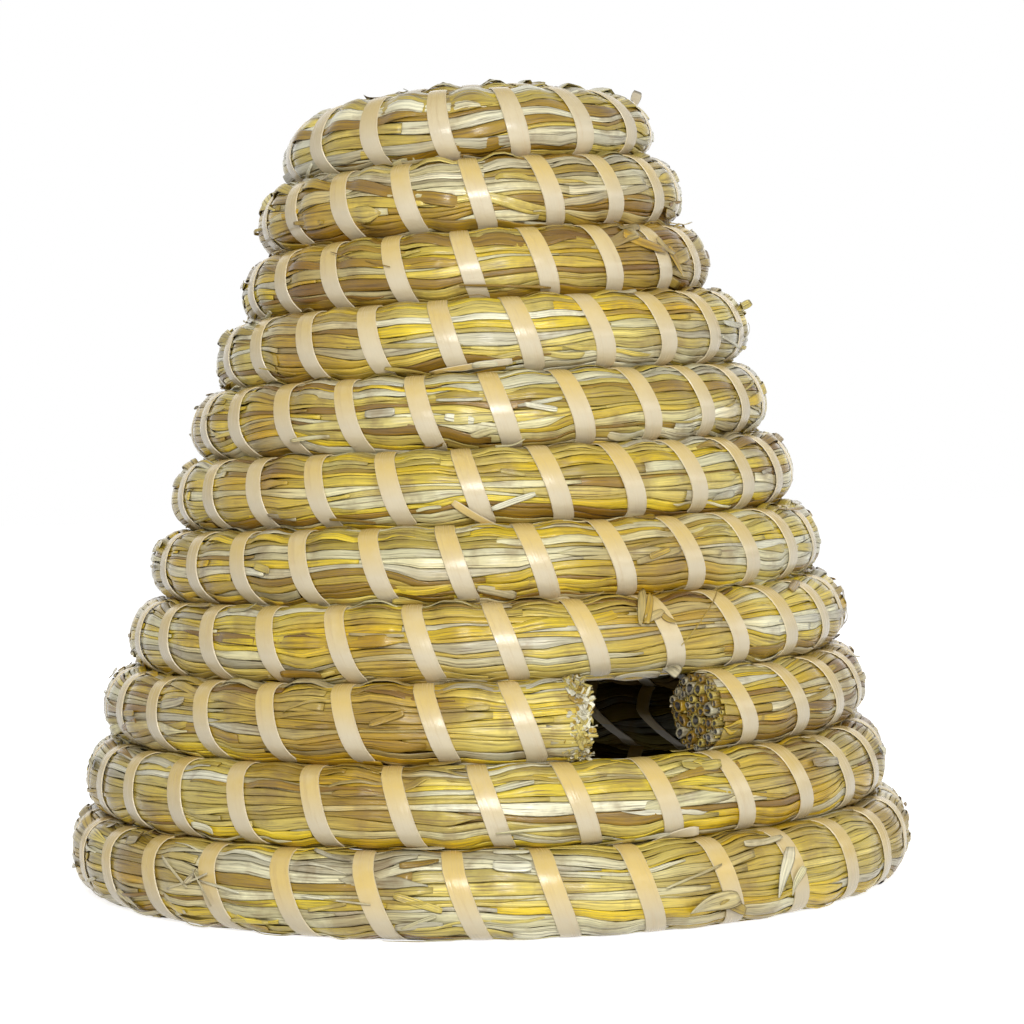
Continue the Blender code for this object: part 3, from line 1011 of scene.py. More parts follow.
@dataclass
class StrawRope:
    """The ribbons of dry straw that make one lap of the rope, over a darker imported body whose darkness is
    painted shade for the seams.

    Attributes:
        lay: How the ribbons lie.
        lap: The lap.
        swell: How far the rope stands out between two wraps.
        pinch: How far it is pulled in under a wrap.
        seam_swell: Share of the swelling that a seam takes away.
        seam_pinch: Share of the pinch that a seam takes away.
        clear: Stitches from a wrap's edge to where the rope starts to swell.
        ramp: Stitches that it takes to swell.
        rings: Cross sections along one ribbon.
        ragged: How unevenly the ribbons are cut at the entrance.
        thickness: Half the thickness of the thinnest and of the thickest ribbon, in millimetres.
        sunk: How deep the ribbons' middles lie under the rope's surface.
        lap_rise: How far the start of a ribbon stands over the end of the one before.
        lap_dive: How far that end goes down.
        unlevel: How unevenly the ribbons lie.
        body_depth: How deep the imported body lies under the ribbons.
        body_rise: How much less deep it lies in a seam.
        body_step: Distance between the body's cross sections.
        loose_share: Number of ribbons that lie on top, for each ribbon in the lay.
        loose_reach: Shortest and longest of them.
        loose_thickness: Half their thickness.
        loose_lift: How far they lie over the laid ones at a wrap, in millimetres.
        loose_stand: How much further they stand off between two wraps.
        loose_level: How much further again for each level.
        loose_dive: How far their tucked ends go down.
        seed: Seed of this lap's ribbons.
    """

    lay: StrawLay
    lap: Lap
    swell: float = 0.5 * MM
    pinch: float = 1.1 * MM
    seam_swell: float = 0.5
    seam_pinch: float = 0.9
    clear: float = 0.03
    ramp: float = 0.26
    rings: int = 34
    ragged: float = 2.5 * MM
    thickness: tuple[float, float] = (0.22, 0.50)
    sunk: float = 0.25 * MM
    lap_rise: float = 0.30 * MM
    lap_dive: float = 1.1 * MM
    unlevel: float = 0.06 * MM
    body_depth: float = 1.8 * MM
    body_rise: float = 1.6 * MM
    body_step: float = 0.004
    loose_share: float = 0.30
    loose_reach: tuple[float, float] = (0.035, 0.120)
    loose_thickness: float = 0.22 * MM
    loose_lift: float = 0.10
    loose_stand: float = 0.62
    loose_level: float = 0.34
    loose_dive: float = 1.7
    seed: int = 11

    def fullness(self, turn: np.ndarray, around: np.ndarray) -> np.ndarray:
        """Tell how free of the cane the rope is.

        Args:
            turn: Place along the rope.
            around: Angle round the rope.

        Returns:
            0 under a wrap and 1 between two wraps.
        """
        cane = self.lay.cane
        beside = np.abs(cane.nearness(turn, around)) - cane.half_share(turn)
        return ease((beside - self.clear) / self.ramp)

    def swelling(self, turn: np.ndarray, around: np.ndarray) -> np.ndarray:
        """Pinch the rope at each wrap and fill it between them.

        Args:
            turn: Place along the rope.
            around: Angle round the rope.

        Returns:
            How far the rope stands out.
        """
        shape = self.lay.shape
        full = self.fullness(turn, around)
        seam = 1 - self.seam_swell * np.sin(around) ** 6
        pinch = self.pinch * (1 - self.seam_pinch * np.sin(around) ** 16)
        size = shape.rope_size(turn)[2] / shape.rope_half_width
        return (-pinch + (pinch + self.swell * seam) * full) * size

    def core(self, finish: bpy.types.Material) -> bpy.types.Object:
        """Make the body of packed straw below the ribbons, darkened as painted shade where it shows in the
        seams.

        Args:
            finish: Its material.

        Returns:
            The piece.
        """
        shape = self.lay.shape
        per_metre = shape.turns_per_metre(self.lap.end)
        count = max(24, int((self.lap.end - self.lap.start) / per_metre / self.body_step))
        short = 5 * MM * per_metre
        low = max(self.lap.start, self.lay.start + short)
        turn = np.linspace(low, min(self.lap.end, self.lay.end - short), count)[:, None]
        around = np.linspace(0, 2 * math.pi, 32, endpoint=False)[None, :]
        depth = self.body_depth - self.body_rise * np.abs(np.sin(around)) ** 24
        rings = shape.skin(turn, around, self.swelling(turn, around) - depth)[None]
        along = np.linspace(0, 1, count)[None] * count * (self.body_step / GRAIN_UNIT)
        # The body's dark brown tint is painted shade for the seams between rows.
        piece = skin_tubes(f"straw_body_{self.lap.name}", rings, np.array([[0.05, 0.3]]), along)
        dress(piece, finish, [f"coil_{self.lap.name}"])
        return piece

    def tones(self, random: np.random.Generator, number: int) -> np.ndarray:
        """Pick a tone for each ribbon, with the shares of yellow and brown that the lap has.

        Args:
            random: The lap's random numbers.
            number: Number of ribbons.

        Returns:
            The tones, from 0 to 1.
        """
        row = min(self.lap.number, len(YELLOW_SHARE) - 1)
        weights = np.array([BROWN_SHARE[row], 0.24, 0.28, 0.8 * YELLOW_SHARE[row], 0.28, 0.09])
        bands = random.choice(len(weights), number, p=weights / weights.sum())
        return (bands + random.uniform(0.05, 0.95, number)) / len(weights)

    def laid(self, random: np.random.Generator) -> tuple[np.ndarray, np.ndarray, np.ndarray]:
        """Work out the ribbons of the lay.

        Args:
            random: The lap's random numbers.

        Returns:
            The turn, the angle and the lift of every point, by ribbon, ring and place in the ring.
        """
        lap = self.lap
        joints = [item for item in self.lay.ribbons if lap.start <= min(
            max((item[1] + item[2]) / 2, self.lay.start + 0.001), self.lay.end - 0.001) < lap.end]
        track = np.array([item[0] for item in joints])
        first = np.array([item[1] for item in joints])[:, None]
        last = np.array([item[2] for item in joints])[:, None]
        cut_first, cut_last = first < self.lay.start, last > self.lay.end
        ragged = self.ragged * random.random((len(track), 1)) * self.lay.shape.turns_per_metre(lap.end)
        first, last = np.maximum(first, self.lay.start + ragged), np.minimum(last, self.lay.end - ragged)
        share = np.linspace(0, 1, self.rings)[None, :]
        turn = first + (last - first) * share
        edges = self.lay.edges(turn)
        own = np.broadcast_to(track[:, None, None], turn.shape + (1,))
        low, high = (np.take_along_axis(edges, own + side, axis=-1)[..., 0] for side in (0, 1))
        middle, half = (low + high) / 2, (high - low) / 2 * 1.01
        number = len(track)
        length = (self.lay.length(last) - self.lay.length(first))
        ends = self.lay.lap_over / length
        under = np.where(cut_last, 0.0, ease((share - 1 + 1.6 * ends) / (1.2 * ends)))
        over = np.where(cut_first, 0.0, 1 - ease(share / (1.5 * ends)))
        torn = random.uniform(0.25, 1.0, number)[:, None]
        half = half * (1 - over * (1 - torn))
        fold = np.zeros((number, len(LAID_DOME)))
        for place in (2, 3):
            fold[:, place] = random.choice([0, 0, 0.35], number)
        width = half * 2 * MEAN_ROPE_RADIUS
        thick = np.minimum(random.uniform(*self.thickness, number)[:, None] * MM, 0.20 * width)
        tilt = random.normal(0, 0.04, number)[:, None] * np.minimum(width, 4 * MM)
        lift = self.swelling(turn, middle) - self.sunk + over * self.lap_rise - under * self.lap_dive
        lift = lift + random.normal(0, self.unlevel, number)[:, None]
        angles = middle[..., None] + half[..., None] * RIBBON_ACROSS
        lifts = lift[..., None] + thick[..., None] * (LAID_DOME - fold[:, None, :])
        lifts = lifts + tilt[..., None] * RIBBON_ACROSS * 0.5
        return np.broadcast_to(turn[..., None], angles.shape), angles, lifts

    def loose(self, random: np.random.Generator, number: int) -> tuple[np.ndarray, np.ndarray, np.ndarray]:
        """Work out ribbons that lie across the others.

        Args:
            random: The lap's random numbers.
            number: Number of ribbons.

        Returns:
            The turn, the angle and the lift of every point, by ribbon, ring and place in the ring.
        """
        per_metre = self.lay.shape.turns_per_metre((self.lap.start + self.lap.end) / 2)
        crossing, widest = (0.65, 0.0075) if self.lap.number < 3 else (0.30, 0.0050)
        reach = random.uniform(*self.loose_reach, number)[:, None] * per_metre
        first = random.uniform(self.lap.start, self.lap.end, number)[:, None]
        last = np.minimum(first + reach, self.lay.end)
        share = np.linspace(0, 1, self.rings)[None, :]
        turn = first + (last - first) * share
        middle = random.uniform(-1.7, 1.7, number)[:, None]
        middle = middle + random.normal(0, crossing, number)[:, None] * (share - 0.5)
        middle = middle + random.normal(0, 0.05, number)[:, None] * np.sin(share * 4)
        taper = random.uniform(0.0012, widest, number)[:, None]
        for left in (share, 1 - share):
            taper = taper * np.minimum(1, 0.15 + ease(left / random.uniform(0.05, 0.5, number)[:, None]))
        half = taper / 2 / MEAN_ROPE_RADIUS
        dive = np.zeros_like(turn)
        for left in (share, 1 - share):
            tucked = random.random(number)[:, None] < 0.6
            dive = np.maximum(dive, (1 - ease(left / 0.10)) * tucked)
        levels = free_levels(first, last, middle - half, middle + half)[:, None]
        stand = (self.loose_stand + self.loose_level * levels) * self.fullness(turn, middle)
        lift = self.swelling(turn, middle) + (self.loose_lift + stand - self.loose_dive * dive) * MM
        angles = middle[..., None] + half[..., None] * RIBBON_ACROSS
        lifts = np.broadcast_to(lift[..., None] + self.loose_thickness * LOOSE_DOME, angles.shape)
        return np.broadcast_to(turn[..., None], angles.shape), angles, lifts

    def ribbons(self, finish: bpy.types.Material, inside_shade_finish: bpy.types.Material) -> None:
        """Lay the ribbons of the lap, with painted shade on those inside the skep.

        Args:
            finish: Material of the ribbons that show outside.
            inside_shade_finish: Material of those inside, darkened as painted shade.
        """
        random = np.random.default_rng(self.seed + self.lap.number)
        laid = self.laid(random)
        loose = self.loose(random, int(self.loose_share * len(laid[0])))
        turn, angle, lift = (np.concatenate(pair) for pair in zip(laid, loose))
        rings = self.lay.shape.skin(turn, angle, lift)
        number = len(rings)
        tints = np.stack([self.tones(random, number), random.random(number)], axis=1)
        along = self.lay.length(turn[..., 0]) / GRAIN_UNIT + random.uniform(0, 90, number)[:, None]
        inside = np.cos(angle.mean(axis=(1, 2))) < -0.25
        for name, skin, chosen in (("straw_ribbons", finish, ~inside), ("straw_inside", inside_shade_finish, inside)):
            piece = skin_tubes(f"{name}_{self.lap.name}", rings[chosen], tints[chosen], along[chosen])
            dress(piece, skin, [f"coil_{self.lap.name}"])
            LOG.info("%s: %d ribbons", piece.name, int(chosen.sum()))


@dataclass
class CaneBinding:
    """The strip of split cane wound round one lap.

    Attributes:
        shape: The skep's shape.
        cane: Where the strip runs.
        lap: The lap.
        thickness: Thickness of the strip.
        sunk: How deep it lies in the straw on the outside of the rope.
        seam_sunk: How deep it lies in a seam.
        unevenness: How much that depth changes from wrap to wrap.
        wrap_length: Length of one wrap.
        stations: Rings for one wrap.
    """

    shape: SkepShape
    cane: Cane
    lap: Lap
    thickness: float = 0.55 * MM
    sunk: float = 0.55 * MM
    seam_sunk: float = 0.6 * MM
    unevenness: float = 0.12 * MM
    wrap_length: float = 0.115
    stations: int = 40

    def strip(self, finish: bpy.types.Material) -> bpy.types.Object:
        """Wind the strip.

        Args:
            finish: Its material.

        Returns:
            The piece.
        """
        first = round(float(self.cane.count(self.lap.wraps[0])))
        last = round(float(self.cane.count(self.lap.wraps[-1])))
        wraps = last - first + 1
        winds = np.linspace(-0.34, wraps - 0.56, wraps * self.stations)
        around = winds * 2 * math.pi
        whole = np.floor(winds + 0.25)
        count = first + whole + self.cane.shift(self.cane.turn(first + whole), around)
        half = self.cane.half_share(self.cane.turn(count))
        across = count[:, None] + half[:, None] * CANE_ACROSS
        turn = self.cane.turn(across)
        size = self.shape.rope_size(turn)[2] / self.shape.rope_half_width
        seam = np.abs(np.sin(around))[:, None] ** 8
        random = np.random.default_rng(70 + self.lap.number)
        uneven = random.normal(0, self.unevenness, wraps + 2)[(whole + 1).astype(int)][:, None]
        lift = (uneven - self.sunk * size) * (1 - seam) - self.seam_sunk * seam
        lift = lift + self.thickness * CANE_DOME
        rings = self.shape.skin(turn, around[:, None], lift)[None]
        length = winds * self.wrap_length / GRAIN_UNIT
        piece = skin_tubes(f"cane_{self.lap.name}", rings, np.array([[0.5, 0.5]]), length[None])
        piece.data.set_sharp_from_angle(angle=math.radians(38))
        dress(piece, finish, [f"binding_{self.lap.name}"])
        return piece


@dataclass
class CutEnd:
    """Stalk ends of the rope where it is cut for the entrance.

    Attributes:
        shape: The skep's shape.
        side: Which end of the gap, seen from the front.
        seed: Seed of the stalks.
        sizes: Radius of each size of stalk in millimetres, and how many are tried.
        sides: Sides of a stalk.
    """

    shape: SkepShape
    side: Side
    seed: int = 5
    sizes: tuple[tuple[float, int], ...] = ((2.9, 8), (2.3, 20), (1.7, 42), (1.2, 80), (0.8, 150))
    sides: int = 10

    def pack(self, random: np.random.Generator, half_height: float, half_width: float) -> np.ndarray:
        """Pack circles of falling size into the rope's section.

        Args:
            random: The random numbers.
            half_height: Half the rope's height.
            half_width: Half its width.

        Returns:
            Each circle's place up and out of the rope's middle, and its radius.
        """
        found: list[tuple[float, float, float]] = []
        power = self.shape.squareness
        for size, tries in self.sizes:
            for _ in range(tries * 30):
                radius = size * MM * random.uniform(0.85, 1.15)
                up, out = random.uniform(-half_height, half_height), random.uniform(-half_width, half_width)
                up_share, out_share = abs(up) / (half_height - radius), abs(out) / (half_width - radius)
                inside = up_share ** power + out_share ** power < 1
                if inside and all(math.hypot(up - u, out - o) > 0.80 * (radius + r) for u, o, r in found):
                    found.append((up, out, radius))
                    if sum(1 for item in found if item[2] > size * MM * 0.84) >= tries:
                        break
        return np.array(found)

    def stalks(self, finish: bpy.types.Material) -> bpy.types.Object:
        """Make the hollow stalks that end at the cut.

        Args:
            finish: Their material.

        Returns:
            The piece.
        """
        right = self.side is Side.RIGHT
        random = np.random.default_rng(self.seed)
        _, cut_above, cut_below, _ = self.shape.rope_ends()
        cut, sense = (cut_above, 1.0) if right else (cut_below, -1.0)
        per_metre = self.shape.turns_per_metre(cut)
        _, half_height, half_width = (float(value) for value in self.shape.rope_size(np.array(cut)))
        spots = self.pack(random, half_height - 0.6 * MM, half_width - 0.6 * MM)
        number = len(spots)
        radius = spots[:, 2]
        end = radius - 1.0 * MM + random.normal(0, 0.5 * MM, number)
        steps = np.array([-16.0, -5.0, -0.8, 0.0, 0.0, -4.5]) * MM
        rims = np.array([0.9, 1.0, 1.05, 0.98, 0.68, 0.55])
        turn = cut + sense * (end[:, None] + steps[None, :]) * per_metre
        squash = random.uniform(0.60, 1.0, number) if right else random.uniform(0.15, 0.5, number)
        lean = random.uniform(0, math.pi, number)
        angle = np.linspace(0, 2 * math.pi, self.sides, endpoint=False)
        wobble = 1 + random.normal(0, 0.10, (number, self.sides))
        cos, sin = np.cos(angle) * wobble, np.sin(angle) * wobble * squash[:, None]
        ring_out = cos * np.cos(lean)[:, None] - sin * np.sin(lean)[:, None]
        ring_up = cos * np.sin(lean)[:, None] + sin * np.cos(lean)[:, None]
        wide = radius[:, None] * rims[None, :] * (1.0 if right else 1.5)
        up = spots[:, 0, None, None] + wide[..., None] * ring_up[:, None, :]
        out = spots[:, 1, None, None] + wide[..., None] * ring_out[:, None, :]
        rings = self.shape.at(turn[..., None], up, out)
        tone = random.choice([0.06, 0.13, 0.27, 0.45, 0.92] if right else [0.74, 0.80, 0.83, 0.97], number)
        tints = np.stack([tone, random.random(number)], axis=1)
        along = np.repeat([[-1.6, -0.5, -0.08, 0.0, 0.04, 0.5]], number, axis=0)
        piece = skin_tubes(f"cut_stalks_{self.side.value}", rings, tints, along)
        dress(piece, finish, [])
        return piece


@dataclass(frozen=True)
class Bit:
    """One torn bit that shows in the photograph.

    Attributes:
        turn: Place along the rope.
        around: Angle round the rope.
        length: Its length in millimetres.
        width: Its width in millimetres.
        heading: Angle from the rope's run, which goes left.
        rise: How far its right end stands off, in millimetres.
        other: The same for its left end.
        twist: How far it turns over along its length.
        tone: Its place in the straw's tones; cane takes none.
        lift: How far its middle lies over the rope's surface, in millimetres.
    """

    turn: float
    around: float
    length: float
    width: float
    heading: float
    rise: float
    other: float
    twist: float
    tone: float = 0.0
    lift: float = 1.0

    def row(self) -> list[float]:
        """Give the bit as the numbers that Scraps takes."""
        return [self.turn, self.around, self.lift * MM, self.length * MM, self.width * MM, self.heading,
                self.rise * MM, self.other * MM, self.twist]


STRAW_BITS = (
    Bit(7.989, -1.36, 20, 6.5, 0.0, 0.6, 0.6, 0.3, 0.81),
    Bit(7.974, -1.15, 8, 6.0, 0.5, 2.0, 0.5, 1.0, 0.97),
    Bit(7.988, 0.46, 18, 3.6, -1.2, 2.0, 1.0, 1.6, 0.74),
    Bit(7.985, 0.40, 16, 3.0, -1.1, 1.0, 2.0, -1.4, 0.45),
    Bit(7.984, 0.20, 9, 3.5, -0.35, 1.0, 0.5, 0.8, 0.80),
    Bit(7.978, 0.10, 6, 2.5, 0.6, 1.5, 1.0, 1.5, 0.25),
    Bit(9.999, -1.05, 26, 2.2, -0.2, 0.5, 0.3, 1.0, 0.93),
    Bit(10.012, -1.15, 26, 2.2, -0.2, 0.4, 0.2, 0.5, 0.27),
    Bit(2.935, 0.15, 22, 5.0, 0.35, 1.0, 1.5, 0.8, 0.62),
    Bit(2.905, -0.30, 14, 3.5, 1.0, 1.5, 0.5, 1.2, 0.66),
    Bit(2.915, 0.05, 10, 3.0, 0.9, 2.0, 0.5, 0.6, 0.80),
    Bit(11.172, 0.30, 20, 1.1, 0.5, 1.0, 1.0, 0.5, 0.80),
    Bit(11.165, 0.15, 24, 1.0, -0.3, 1.5, 0.5, 0.5, 0.82),
    Bit(11.158, 0.05, 16, 0.9, 0.9, 0.8, 1.2, 0.5, 0.78),
    Bit(11.163, 0.25, 7, 2.6, -0.8, 1.5, 1.5, 2.5, 0.95),
    Bit(11.150, 0.12, 20, 1.0, 0.15, 0.7, 0.7, 0.5, 0.80),
    Bit(11.105, 0.00, 28, 0.8, 0.08, 0.4, 0.6, 0.4, 0.80),
    Bit(10.976, -0.33, 22, 7.0, -0.15, 1.5, 2.5, 1.6, 0.72),
    Bit(10.968, -0.45, 14, 4.0, 0.4, 1.0, 1.5, 1.0, 0.30),
    Bit(10.946, 0.08, 18, 5.0, -1.15, 2.5, 1.5, 1.2, 0.81),
    Bit(10.940, -0.10, 12, 3.5, -0.9, 1.0, 2.0, 1.0, 0.72),
    Bit(0.050, 1.00, 9, 1.6, 0.1, 1.0, 1.0, 0.5, 0.05),
)
CANE_BITS = (
    Bit(4.060, -1.05, 32, 3.8, -0.15, 0.6, 0.3, 0.3),
    Bit(6.057, -1.00, 23, 3.6, 0.71, 0.8, 0.3, 0.4),
    Bit(9.985, -1.00, 20, 5.0, -0.26, 1.2, 0.6, 0.6),
    Bit(0.835, -0.05, 15, 2.4, -0.1, 6.0, 0.0, 0.8),
)


@dataclass
class Scraps:
    """Torn bits of straw and cane ends that lie on the rope or stand off it.

    Attributes:
        shape: The skep's shape.
        rings: Cross sections along one bit.
        thickness: Half the thickness of a bit.
    """

    shape: SkepShape
    rings: int = 12
    thickness: float = 0.15 * MM

    def lay(self, name: str, finish: bpy.types.Material, slot: str, bits: np.ndarray,
            tints: np.ndarray) -> bpy.types.Object:
        """Lay the bits.

        Args:
            name: Name of the piece.
            finish: Its material.
            slot: The record's slot; not used.
            bits: For each bit its turn, angle round the rope, lift, length, width, heading from the rope's
                run, rise of its two ends and twist.
            tints: Two numbers from 0 to 1 for each bit, for its colour.

        Returns:
            The piece.
        """
        turn, around, lift, length, width, heading, rise, other, twist = bits.T[:, :, None, None]
        share = np.linspace(-0.5, 0.5, self.rings)[None, :, None]
        dome = LOOSE_DOME * self.thickness
        far = np.abs(share) * 2
        half = width / 2 * (1 - 0.35 * far ** 6) * RIBBON_ACROSS
        turned = twist * share
        side = half * np.cos(turned) - dome * np.sin(turned)
        high = half * np.sin(turned) + dome * np.cos(turned) + np.where(share < 0, rise, other) * far ** 1.6
        along = length * share * np.cos(heading) - side * np.sin(heading)
        up = length * share * np.sin(heading) + side * np.cos(heading)
        metre = 1 / (2 * math.pi * np.maximum(self.shape.radius(turn), LEAST_RADIUS))
        rings = self.shape.skin(turn + along * metre, around + up / self.shape.rope_half_width, lift + high)
        run = np.broadcast_to(length[..., 0] * share[..., 0] / GRAIN_UNIT, rings.shape[:2])
        piece = skin_tubes(name, rings, tints, run + np.arange(len(bits))[:, None] * 3.7)
        dress(piece, finish, [])
        return piece

    def tatters(self, lap: Lap, finish: bpy.types.Material) -> None:
        """Scatter torn leaves and short stalks over one lap, all of them between two wraps.

        Args:
            lap: The lap.
            finish: Their material.
        """
        random = np.random.default_rng(300 + lap.number)
        number = int((30 if lap.number < 6 else 16) * (0.4 + lap.number / 8))
        between = random.integers(0, len(lap.wraps) - 1, number)
        turn = (lap.wraps[between] + lap.wraps[between + 1]) / 2
        length = random.uniform(0.008, 0.020, number)
        slim = random.random(number) < 0.12
        bits = np.stack([
            turn, random.uniform(-1.3, 1.4, number), (0.9 + 0.5 * steps_between(number)) * MM,
            np.where(slim, 2.2 * length, length),
            random.uniform(0.0012, 0.0044, number) * np.where(slim, 0.4, 1),
            random.normal(0, 0.22, number), random.exponential(0.8, number) * MM,
            random.exponential(0.4, number) * MM, random.normal(0, 0.7, number)], axis=1)
        tones = random.choice([0.08, 0.25, 0.45, 0.72, 0.80, 0.95], number)
        tints = np.stack([tones, random.random(number)], axis=1)
        self.lay(f"tatters_{lap.name}", finish, "straw", bits, tints)

    def seen(self, straw: bpy.types.Material, cane: bpy.types.Material) -> None:
        """Lay the bits that show in the photograph.

        Args:
            straw: Material of the straw.
            cane: Material of the cane.
        """
        for name, finish, slot, bits in (("torn_leaves", straw, "straw", STRAW_BITS),
                                         ("cane_ends", cane, "cane", CANE_BITS)):
            tints = np.array([[bit.tone, 0.6] for bit in bits])
            self.lay(name, finish, slot, np.array([bit.row() for bit in bits]), tints)

    def frayed_end(self, finish: bpy.types.Material, number: int = 900) -> None:
        """Crumple the soft cream straw at the left of the entrance.

        Args:
            finish: Its material.
            number: Number of torn bits.
        """
        random = np.random.default_rng(41)
        cut = self.shape.rope_ends()[2]
        back = random.uniform(-0.0015, 0.0085, number) * (0.6 + 0.4 * random.random(number))
        bits = np.stack([
            cut + back * self.shape.turns_per_metre(cut), random.uniform(-math.pi, math.pi, number),
            random.uniform(-1.8, 0.9, number) * MM, random.uniform(0.002, 0.0065, number),
            random.uniform(0.0008, 0.0028, number), random.uniform(-1.5, 1.5, number),
            random.uniform(-1.2, 1.4, number) * MM, random.uniform(-1.2, 1.4, number) * MM,
            random.normal(0, 2.4, number)], axis=1)
        tones = random.choice([0.14, 0.28, 0.30, 0.78, 0.83, 0.95], number)
        tints = np.stack([tones, random.random(number)], axis=1)
        self.lay("frayed_end", finish, "straw", bits, tints)


@dataclass
class CrownPlug:
    """The few upright stalks that fill the eye of the crown.

    Attributes:
        radius: Radius of a stalk.
        spacing: Distance of the outer stalks from the middle one.
        sides: Sides of a stalk.
        seed: Seed of the stalks' heights and tones.
    """

    radius: float = 0.0016
    spacing: float = 0.0022
    sides: int = 10
    seed: int = 3

    def stalks(self, finish: bpy.types.Material) -> bpy.types.Object:
        """Make the stalks.

        Args:
            finish: Their material.

        Returns:
            The piece.
        """
        low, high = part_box("crown_plug")
        random = np.random.default_rng(self.seed)
        ring = [(math.cos(a) * self.spacing, math.sin(a) * self.spacing) for a in np.linspace(0, 5.24, 6)]
        spots = np.array([(0.0, 0.0), *ring])
        number = len(spots)
        top = high[2] + random.uniform(-1.0, 2.0, number) * MM
        steps = np.array([-24.0, -10.0, -1.0, 0.0, 0.0, -5.0]) * MM
        rims = np.array([1.0, 1.0, 1.0, 0.94, 0.6, 0.5])
        angle = np.linspace(0, 2 * math.pi, self.sides, endpoint=False)
        height = np.maximum(top[:, None] + steps[None, :], low[2])
        wide = self.radius * rims[None, :, None]
        x = spots[:, 0, None, None] + wide * np.cos(angle)[None, None, :]
        y = spots[:, 1, None, None] + wide * np.sin(angle)[None, None, :]
        rings = np.stack(np.broadcast_arrays(x, y, height[..., None]), axis=-1)
        tints = np.stack([random.uniform(0.3, 0.8, number), random.random(number)], axis=1)
        along = np.repeat(steps[None, :] / GRAIN_UNIT, number, axis=0)
        piece = skin_tubes("crown_plug_stalks", rings, tints, along)
        dress(piece, finish, ["crown_plug"])
        return piece


@dataclass(frozen=True)
class Lamp:
    """One soft lamp, placed from the skep's axis.

    Attributes:
        name: Its name.
        forward: Distance towards the camera.
        right: Distance to the camera's right.
        height: Height over the floor.
        size: Its width and height.
        watts: Its power.
    """

    name: str
    forward: float
    right: float
    height: float
    size: tuple[float, float]
    watts: float


LAMPS = (
    Lamp("key", 1.7, 0.08, 0.72, (0.6, 0.40), 22.0),
    Lamp("right", 0.52, 1.35, 0.42, (2.2, 0.2), 4.0),
    Lamp("left", 0.52, -1.35, 0.42, (2.2, 0.2), 0.8),
    Lamp("back", -1.5, 0.0, 0.8, (2.4, 1.4), 6.0),
)


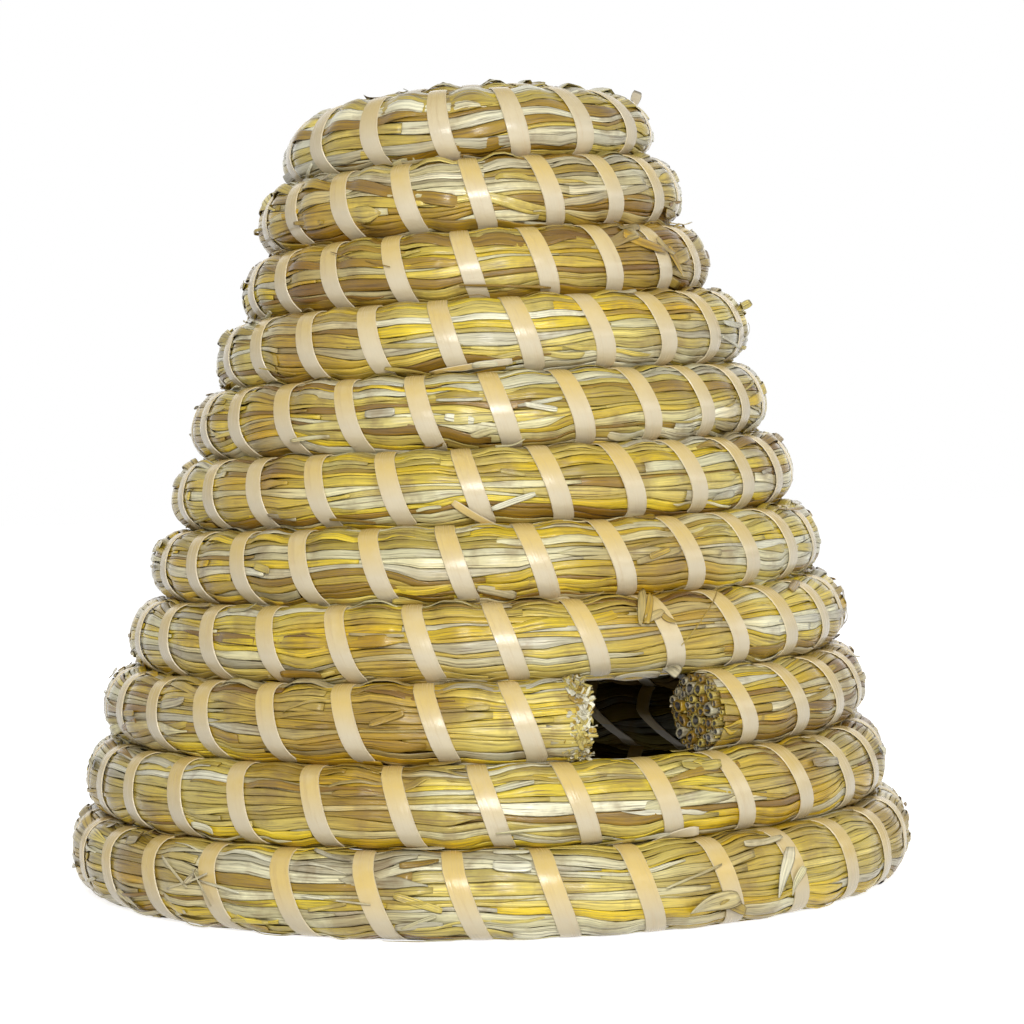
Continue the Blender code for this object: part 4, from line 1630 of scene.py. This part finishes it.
@dataclass
class Studio:
    """White floor and backdrop, the lamps, and the camera at the photograph's angle.

    Attributes:
        distance: Camera to the skep's axis.
        height: Height of the lens.
        around: How far the camera stands to the left of the entrance line, in degrees.
        tilt: Upward tilt of the lens.
        roll: Roll of the picture.
        focal_pixels: Focal length in pixels of the photograph.
        middle: Pixel column of the skep's axis.
        aim: Height that the lamps look at.
        floor_glow: Strength of the floor's white where it is seen.
        room_light: Strength of the world's light on the skep.
    """

    distance: float = 1.312
    height: float = 0.2084
    around: float = 23.32
    tilt: float = -0.0263
    roll: float = -0.0165
    focal_pixels: float = 2707.0
    middle: float = 485.65
    aim: float = 0.18
    floor_glow: float = 0.78
    room_light: float = 0.24

    def camera(self) -> None:
        """Place the camera."""
        data = bpy.data.cameras.new("camera")
        data.sensor_width = 36.0
        data.lens = 36.0 * self.focal_pixels / PHOTO_PIXELS
        data.clip_start, data.clip_end = 0.05, 50.0
        lens = bpy.data.objects.new("camera", data)
        angle = math.radians(self.around)
        lens.location = (-math.sin(angle) * self.distance, -math.cos(angle) * self.distance, self.height)
        yaw = math.atan((PHOTO_PIXELS / 2 - self.middle) / self.focal_pixels)
        turned = Euler((math.pi / 2 + self.tilt, 0.0, -angle - yaw), "XYZ").to_matrix()
        roll = Euler((0.0, 0.0, self.roll), "XYZ").to_matrix()
        lens.rotation_euler = (turned @ roll).to_euler("XYZ")
        bpy.context.scene.collection.objects.link(lens)
        bpy.context.scene.camera = lens

    def lamp(self, lamp: Lamp) -> None:
        """Place one lamp, turned towards the skep.

        Args:
            lamp: The lamp.
        """
        data = bpy.data.lights.new(lamp.name, "AREA")
        data.shape = "RECTANGLE"
        data.size, data.size_y = lamp.size
        data.energy = lamp.watts
        angle = math.radians(self.around)
        toward = Vector((-math.sin(angle), -math.cos(angle), 0))
        right = Vector((math.cos(angle), -math.sin(angle), 0))
        place = toward * lamp.forward + right * lamp.right + Vector((0, 0, lamp.height))
        body = bpy.data.objects.new(lamp.name, data)
        body.location = place
        body.rotation_euler = (Vector((0, 0, self.aim)) - place).to_track_quat("-Z", "Y").to_euler()
        bpy.context.scene.collection.objects.link(body)

    def backdrop_seen(self, nodes: NodeTree) -> bpy.types.NodeSocket:
        """Tell where the backdrop is looked at.

        Args:
            nodes: The nodes to build in.

        Returns:
            1 for the lens, a reflection or glass, and 0 for plain light.
        """
        path = nodes.add("ShaderNodeLightPath")
        seen = nodes.math("MAXIMUM", path.outputs["Is Camera Ray"], path.outputs["Is Glossy Ray"])
        return nodes.math("MAXIMUM", seen, path.outputs["Is Transmission Ray"])

    def floor(self) -> None:
        """Lay a flat white floor."""
        mesh = bpy.data.meshes.new("floor")
        sheet = bmesh.new()
        bmesh.ops.create_grid(sheet, x_segments=1, y_segments=1, size=6)
        sheet.to_mesh(mesh)
        sheet.free()
        floor = bpy.data.objects.new("floor", mesh)
        bpy.context.scene.collection.objects.link(floor)
        paint, nodes, shader = start_finish("white_floor")
        shader.inputs["Base Color"].default_value = (0.88, 0.88, 0.88, 1)
        shader.inputs["Roughness"].default_value = 0.9
        shader.inputs["Emission Color"].default_value = WHITE
        glow = nodes.math("MULTIPLY", self.backdrop_seen(nodes), self.floor_glow)
        nodes.link(glow, shader.inputs["Emission Strength"])
        floor.data.materials.append(paint)

    def sky(self) -> None:
        """Light the room white, and show white behind."""
        world = bpy.data.worlds.new("studio")
        world.use_nodes = True
        nodes = NodeTree(world.node_tree)
        back = world.node_tree.nodes["Background"]
        back.inputs["Color"].default_value = WHITE
        strength = nodes.spread(self.backdrop_seen(nodes), (0.0, 1.0), (self.room_light, 1.0))
        nodes.link(strength, back.inputs["Strength"])
        bpy.context.scene.world = world

    def build(self) -> None:
        """Set up the studio."""
        bpy.context.scene.view_settings.view_transform = "Standard"
        self.camera()
        self.floor()
        self.sky()
        for lamp in LAMPS:
            self.lamp(lamp)


def main() -> None:
    """Build the skep's pieces in order."""
    logging.basicConfig(level=logging.INFO, format="%(message)s")
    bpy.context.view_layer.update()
    shape = SkepShape()
    fibre = fibre_group()
    straw = StrawFinish().build(fibre)
    # The body's finish is darkened as painted shade for the seams.
    packed = StrawFinish(name="packed_straw_painted_shade", stain_share=0.9, level=0.5, shine=0.2).build(fibre)
    # The ribbons inside the skep get a darkened copy of the straw: painted shade.
    inside_shade_finish = StrawFinish(name="painted_shade_straw", level=0.25, roughness=0.6, shine=0.1).build(fibre)
    # The frayed bits get a softer painted shade along their edges.
    frayed = StrawFinish(name="frayed_straw", gap=(0.36, 0.27, 0.14), stain_share=0.3).build(fibre)
    stalks = StrawFinish(name="cut_stalks", hollow=True).build(fibre)
    cane_finish = CaneFinish().build(fibre)
    above, below = (Cane(shape, wraps) for wraps in shape.wraps())
    start, cut_above, cut_below, end = shape.rope_ends()
    upper = StrawLay(shape, above, start, cut_above)
    lower = StrawLay(shape, below, cut_below, end, seed=22)
    scraps = Scraps(shape)
    for lap in cut_into_laps(shape):
        lay = upper if lap.end < shape.entrance_row else lower
        rope = StrawRope(lay, lap)
        rope.core(packed)
        rope.ribbons(straw, inside_shade_finish)
        CaneBinding(shape, lay.cane, lap).strip(cane_finish)
        scraps.tatters(lap, straw)
    scraps.seen(straw, cane_finish)
    scraps.frayed_end(frayed)
    for side, seed in ((Side.RIGHT, 5), (Side.LEFT, 8)):
        CutEnd(shape, side, seed).stalks(stalks)
    CrownPlug().stalks(straw)
    Studio().build()


if __name__ == "__main__":
    main()
